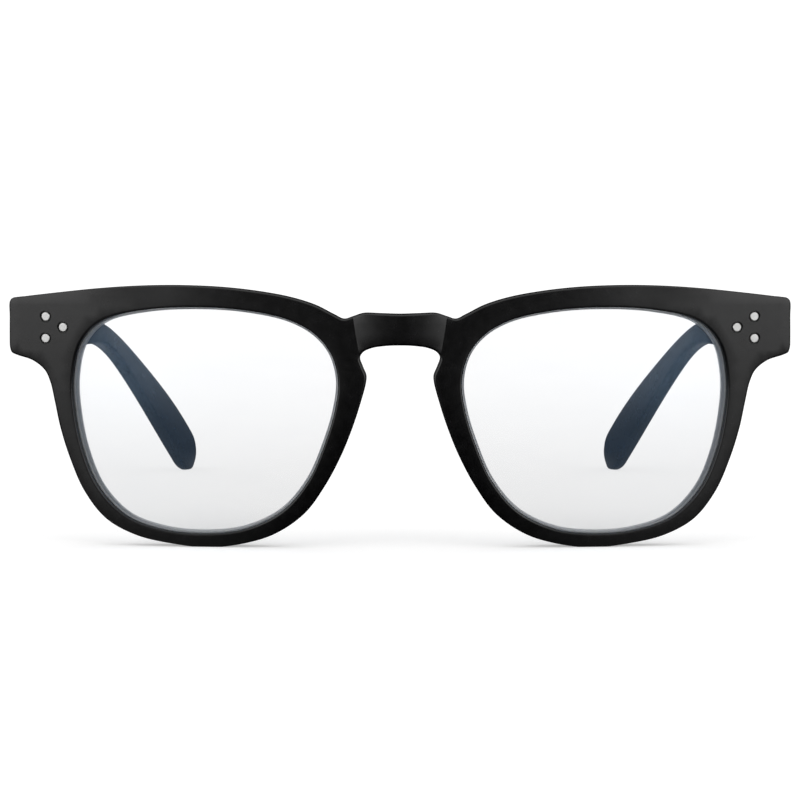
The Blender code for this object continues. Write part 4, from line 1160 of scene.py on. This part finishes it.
def metal(name, colour, rough, brush_scale, tarnish):
    """Satin metal with drawn-out brush marks; tarnish is the colour's share in dull spots."""
    material, tree = new_material(name)
    coords = tree.coords()
    brush = tree.noise(tree.stretch(coords, brush_scale), scale=1.0, detail=3.0, rough=0.6)
    cloud = tree.noise(coords, scale=900.0, detail=3.0, rough=0.55)
    dull = tuple(c * tarnish for c in colour)
    bright = tree.span(cloud, source=(0.30, 0.62), target=(0.25, 1.0))
    base = tree.mix_colour(bright, dull, colour)
    roughness = tree.scaled(brush, times=0.22, plus=rough - 0.11)
    roughness = tree.scaled(cloud, times=0.10, plus=roughness)
    normal = tree.bump(brush, strength=0.25, distance=0.00002)
    tree.output(tree.shader("BsdfPrincipled", {
        "Base Color": base, "Roughness": roughness, "Metallic": 1.0, "Normal": normal}))
    return material


# (height in metres, tint of the light passing through a lens face): the tint darkens towards the
# bottom, painted shade that stands in for the dimmer floor seen through the lens
LENS_TINT_PAINTED_SHADE = [(0.000, (0.878, 0.875, 0.870)), (0.0046, (0.893, 0.890, 0.885)),
              (0.0083, (0.904, 0.901, 0.896)), (0.0157, (0.927, 0.924, 0.920)),
              (0.023, (0.955, 0.953, 0.950)), (0.0304, (0.980, 0.978, 0.976)),
              (0.0378, (0.996, 0.995, 0.994)), (0.048, (1.0, 1.0, 1.0))]
PAINTED_SHADE_TOP = 0.05    # height at the end of the painted-shade ramp
PAINTED_REFLECTION_HAZE = 0.042             # share of blue haze in a lens face, a painted reflection: a lit blue diffuse layer standing in for the coating's blue reflection
SHINE = 0.012            # least share of mirrored light


def lens_resin(name):
    """Clear resin: each face passes most light, less towards the bottom as painted shade, mirrors a
    little blue and hazes faintly in blue, a painted reflection of the coating.
    """
    material, tree = new_material(name)
    coords = tree.coords()
    height = tree.split(coords)[2]
    # painted shade: each lens face passes less light towards its bottom, in place of the dimmer floor
    # behind the lens
    painted_shade_tint = tree.ramp(tree.math("DIVIDE", height, PAINTED_SHADE_TOP),
                     [(z / PAINTED_SHADE_TOP, colour) for z, colour in LENS_TINT_PAINTED_SHADE])
    slow = tree.noise(coords, scale=60.0, detail=1.0, rough=0.5)
    smear = tree.noise(tree.stretch(coords, (140.0, 140.0, 420.0)),
                       scale=1.0, detail=3.0, rough=0.6)
    normal = tree.bump(slow, strength=0.10, distance=0.0002)
    clear = tree.shader("BsdfTransparent", {"Color": painted_shade_tint})
    # painted reflection: a blue diffuse layer in place of the coating's blue reflection
    painted_reflection_haze = tree.shader("BsdfDiffuse", {"Color": (0.34, 0.58, 0.92, 1.0), "Normal": normal})
    roughness = tree.scaled(smear, times=0.10, plus=0.08)
    shine = tree.shader("BsdfAnisotropic", {
        "Color": (0.50, 0.72, 1.0, 1.0), "Roughness": roughness, "Normal": normal})
    grazing = tree.node("ShaderNodeLayerWeight",
                        {"Blend": 0.22, "Normal": normal}).outputs["Fresnel"]
    body = tree.mix(tree.scaled(smear, times=0.02, plus=PAINTED_REFLECTION_HAZE - 0.01), clear, painted_reflection_haze)
    mirror = tree.scaled(grazing, times=0.4, plus=SHINE, clamp=True)
    tree.output(tree.mix(mirror, body, shine))
    return material


def ground_bevel(name):
    """The lens's ground edge: pale, frosted, partly see-through."""
    material, tree = new_material(name)
    coords = tree.coords()
    fine = tree.noise(coords, scale=4200.0, detail=3.0, rough=0.6)
    band = tree.noise(coords, scale=700.0, detail=2.0, rough=0.5)
    normal = tree.bump(fine, strength=0.5, distance=0.00001)
    colour = tree.mix_colour(band, (0.80, 0.81, 0.82), (0.97, 0.97, 0.97))
    frost = tree.shader("BsdfDiffuse", {"Color": colour, "Roughness": 0.6, "Normal": normal})
    through = tree.shader("BsdfTranslucent", {"Color": colour, "Normal": normal})
    both = tree.mix(0.5, frost, through)
    clear = tree.shader("BsdfTransparent", {"Color": (0.9, 0.92, 0.93, 1)})
    tree.output(tree.mix(tree.scaled(fine, times=0.2, plus=0.72), clear, both))
    return material


BLACK = {"dark": (0.0022, 0.0022, 0.0024), "light": (0.0048, 0.0048, 0.0052)}
MATS = {
    "frame": acetate("frame_acetate_look", rough=0.22, **BLACK),
    "temple": acetate("temple_acetate_look", rough=0.26, grain=0.5, **BLACK),
    "pad": acetate("pad_acetate_look", dark=(0.0035, 0.0035, 0.0038),
                   light=(0.0070, 0.0070, 0.0076), rough=0.26, grain=0.6),
    "rivet": metal("rivet_steel_look", colour=(0.74, 0.74, 0.73), rough=0.34,
                   brush_scale=(2600.0, 2600.0, 9000.0), tarnish=0.86),
    "leaf": metal("hinge_nickel_silver_look", colour=(0.62, 0.61, 0.58), rough=0.32,
                  brush_scale=(900.0, 900.0, 9000.0), tarnish=0.72),
    "screw": metal("screw_steel_look", colour=(0.66, 0.66, 0.65), rough=0.26,
                   brush_scale=(5000.0, 5000.0, 1500.0), tarnish=0.70),
    "wire": metal("core_nickel_silver_look", colour=(0.58, 0.57, 0.54), rough=0.36,
                  brush_scale=(7000.0, 700.0, 7000.0), tarnish=0.75),
    "lens": lens_resin("lens_resin_look"),
    "bevel": ground_bevel("lens_ground_bevel_look"),
}
front_piece()
for _side, _tag in SIDES:
    side_pieces(_side, _tag)


# ===================================================================
# floor, light, camera (metres)
# ===================================================================
FLOOR_RADII = (0.12, 0.3, 0.8, 1.8, 3.0)
FLOOR_SIDES = 96
FLOOR_Z = -0.00002
FLOOR_GLOW = 0.40        # even part of the floor's brightness
FLOOR_WHITE = 0.80
FLOOR_BEHIND = 1.13      # glow the floor turns to further back
# (distance, share of the room's light the floor hands on to the parts)
FLOOR_HANDS_ON = [(0.05, 0.08), (0.18, 0.10), (0.34, 0.16), (0.60, 0.48), (0.80, 0.80),
                  (1.10, 1.0)]
FLOOR_RAMP_END = 2.0     # distance at the end of that ramp
BACKDROP = 1.18
TOP_LIGHT = 0.95
# (|x| of the direction, brightness) of the soft light left and right
SIDE_LIGHT = [(0.00, 0.030), (0.10, 0.050), (0.18, 0.10), (0.28, 0.34), (0.39, 1.05),
              (0.50, 1.90), (0.64, 2.20), (0.78, 1.7), (0.90, 0.8), (1.00, 0.45)]
SIDE_FULL = 2.5          # brightness that a ramp value of 1 stands for
BEHIND = 0.22            # share of the same light behind the glasses
# (share of the way from straight down to straight up, brightness of the side light)
SIDE_TALL = [(0.0, 0.25), (0.40, 0.60), (0.49, 0.85), (0.53, 1.0), (0.75, 1.0), (1.0, 0.45)]
CAMERA_Y = -480.0        # mm, from the design plane y = 0
CAMERA_Z = 0.06487
CAMERA_DOWN = 4.5        # degrees


def side_light(tree, x, y):
    """Brightness of the soft light left and right against |x|, weaker behind the glasses."""
    side = tree.ramp(tree.math("ABSOLUTE", x), [(at, v / SIDE_FULL) for at, v in SIDE_LIGHT])
    strength = tree.span(y, source=(0.0, 0.6), target=(SIDE_FULL, SIDE_FULL * BEHIND))
    return tree.math("MULTIPLY", side, strength)


def floor_material():
    """The camera sees an even white; the parts see the dimmed reflection of the room."""
    material, tree = new_material("floor_look")
    coords = tree.coords()
    tooth = tree.noise(coords, scale=900.0, detail=3.0, rough=0.6)
    tone = tree.span(tooth, source=(0.3, 0.7), target=(FLOOR_WHITE - 0.01, FLOOR_WHITE + 0.01))
    grey = tree.node("ShaderNodeCombineColor", {0: tone, 1: tone, 2: tone}).outputs[0]
    white = tree.shader("BsdfDiffuse", {"Color": grey})
    lit = tree.shader("AddShader", {0: white, 1: tree.glow(FLOOR_GLOW)})
    even = tree.glow(FLOOR_BEHIND)
    depth = tree.split(coords)[1]
    seen = tree.mix(tree.span(depth, source=(-0.058, 0.0), target=(0.0, 0.75)), lit, even)

    x, y, _ = tree.split(coords)
    flat = tree.node("ShaderNodeCombineXYZ", {0: x, 1: y, 2: 0.0}).outputs[0]
    far = tree.node("ShaderNodeVectorMath", {0: flat}, operation="LENGTH").outputs["Value"]
    least = 0.01    # keeps the division finite at the middle
    sideways = tree.math("DIVIDE", x, tree.math("MAXIMUM", far, least))
    side = side_light(tree, sideways, y)
    share = tree.ramp(tree.math("MULTIPLY", far, 1 / FLOOR_RAMP_END),
                      [(at / FLOOR_RAMP_END, v) for at, v in FLOOR_HANDS_ON])
    dim = tree.glow(tree.math("MULTIPLY", side, share))
    tree.output(tree.mix(tree.camera_ray(), dim, seen))
    return material


def floor_piece():
    """Disc of rings round a centre vertex."""
    count = FLOOR_SIDES
    verts = [(0.0, 0.0, FLOOR_Z)]
    for radius in FLOOR_RADII:
        for k in range(count):
            angle = 2 * math.pi * k / count
            verts.append((radius * math.cos(angle), radius * math.sin(angle), FLOOR_Z))
    faces = [(0, 1 + k, 1 + (k + 1) % count) for k in range(count)]
    faces += bands(count, len(FLOOR_RADII), start=1, flip=True)
    mesh = bpy.data.meshes.new("floor")
    mesh.from_pydata(verts, [], faces)
    floor = bpy.data.objects.new("floor", mesh)
    bpy.context.scene.collection.objects.link(floor)
    mesh.materials.append(floor_material())


def studio():
    """Soft light left, right and overhead; the camera sees a plain backdrop."""
    world = bpy.data.worlds.new("studio")
    bpy.context.scene.world = world
    tree = Tree(world)
    x, y, z = tree.split(tree.coords("Generated"))
    tall = tree.ramp(tree.span(z, source=(-1.0, 1.0), target=(0.0, 1.0)), SIDE_TALL)
    top = tree.span(z, source=(0.55, 0.85), target=(0.0, TOP_LIGHT))
    side = tree.math("MULTIPLY", side_light(tree, x, y), tall)
    soft = tree.math("MAXIMUM", side, top)
    room = tree.shader("Background", {0: (1, 1, 1, 1), 1: soft})
    backdrop = tree.shader("Background", {0: (1, 1, 1, 1), 1: BACKDROP})
    tree.output(tree.mix(tree.camera_ray(), room, backdrop), kind="World")


def camera():
    data = bpy.data.cameras.new("camera")
    data.sensor_width = 36.0
    data.lens = 119.0
    data.clip_start = 0.02
    data.clip_end = 20.0
    obj = bpy.data.objects.new("camera", data)
    bpy.context.scene.collection.objects.link(obj)
    obj.location = (0.0, (CAMERA_Y - Y_ORIGIN) * MM, CAMERA_Z)
    obj.rotation_euler = (math.radians(90.0 - CAMERA_DOWN), 0.0, 0.0)
    bpy.context.scene.camera = obj


floor_piece()
studio()
camera()
bpy.context.scene.view_settings.view_transform = "Standard"

bpy.context.view_layer.update()
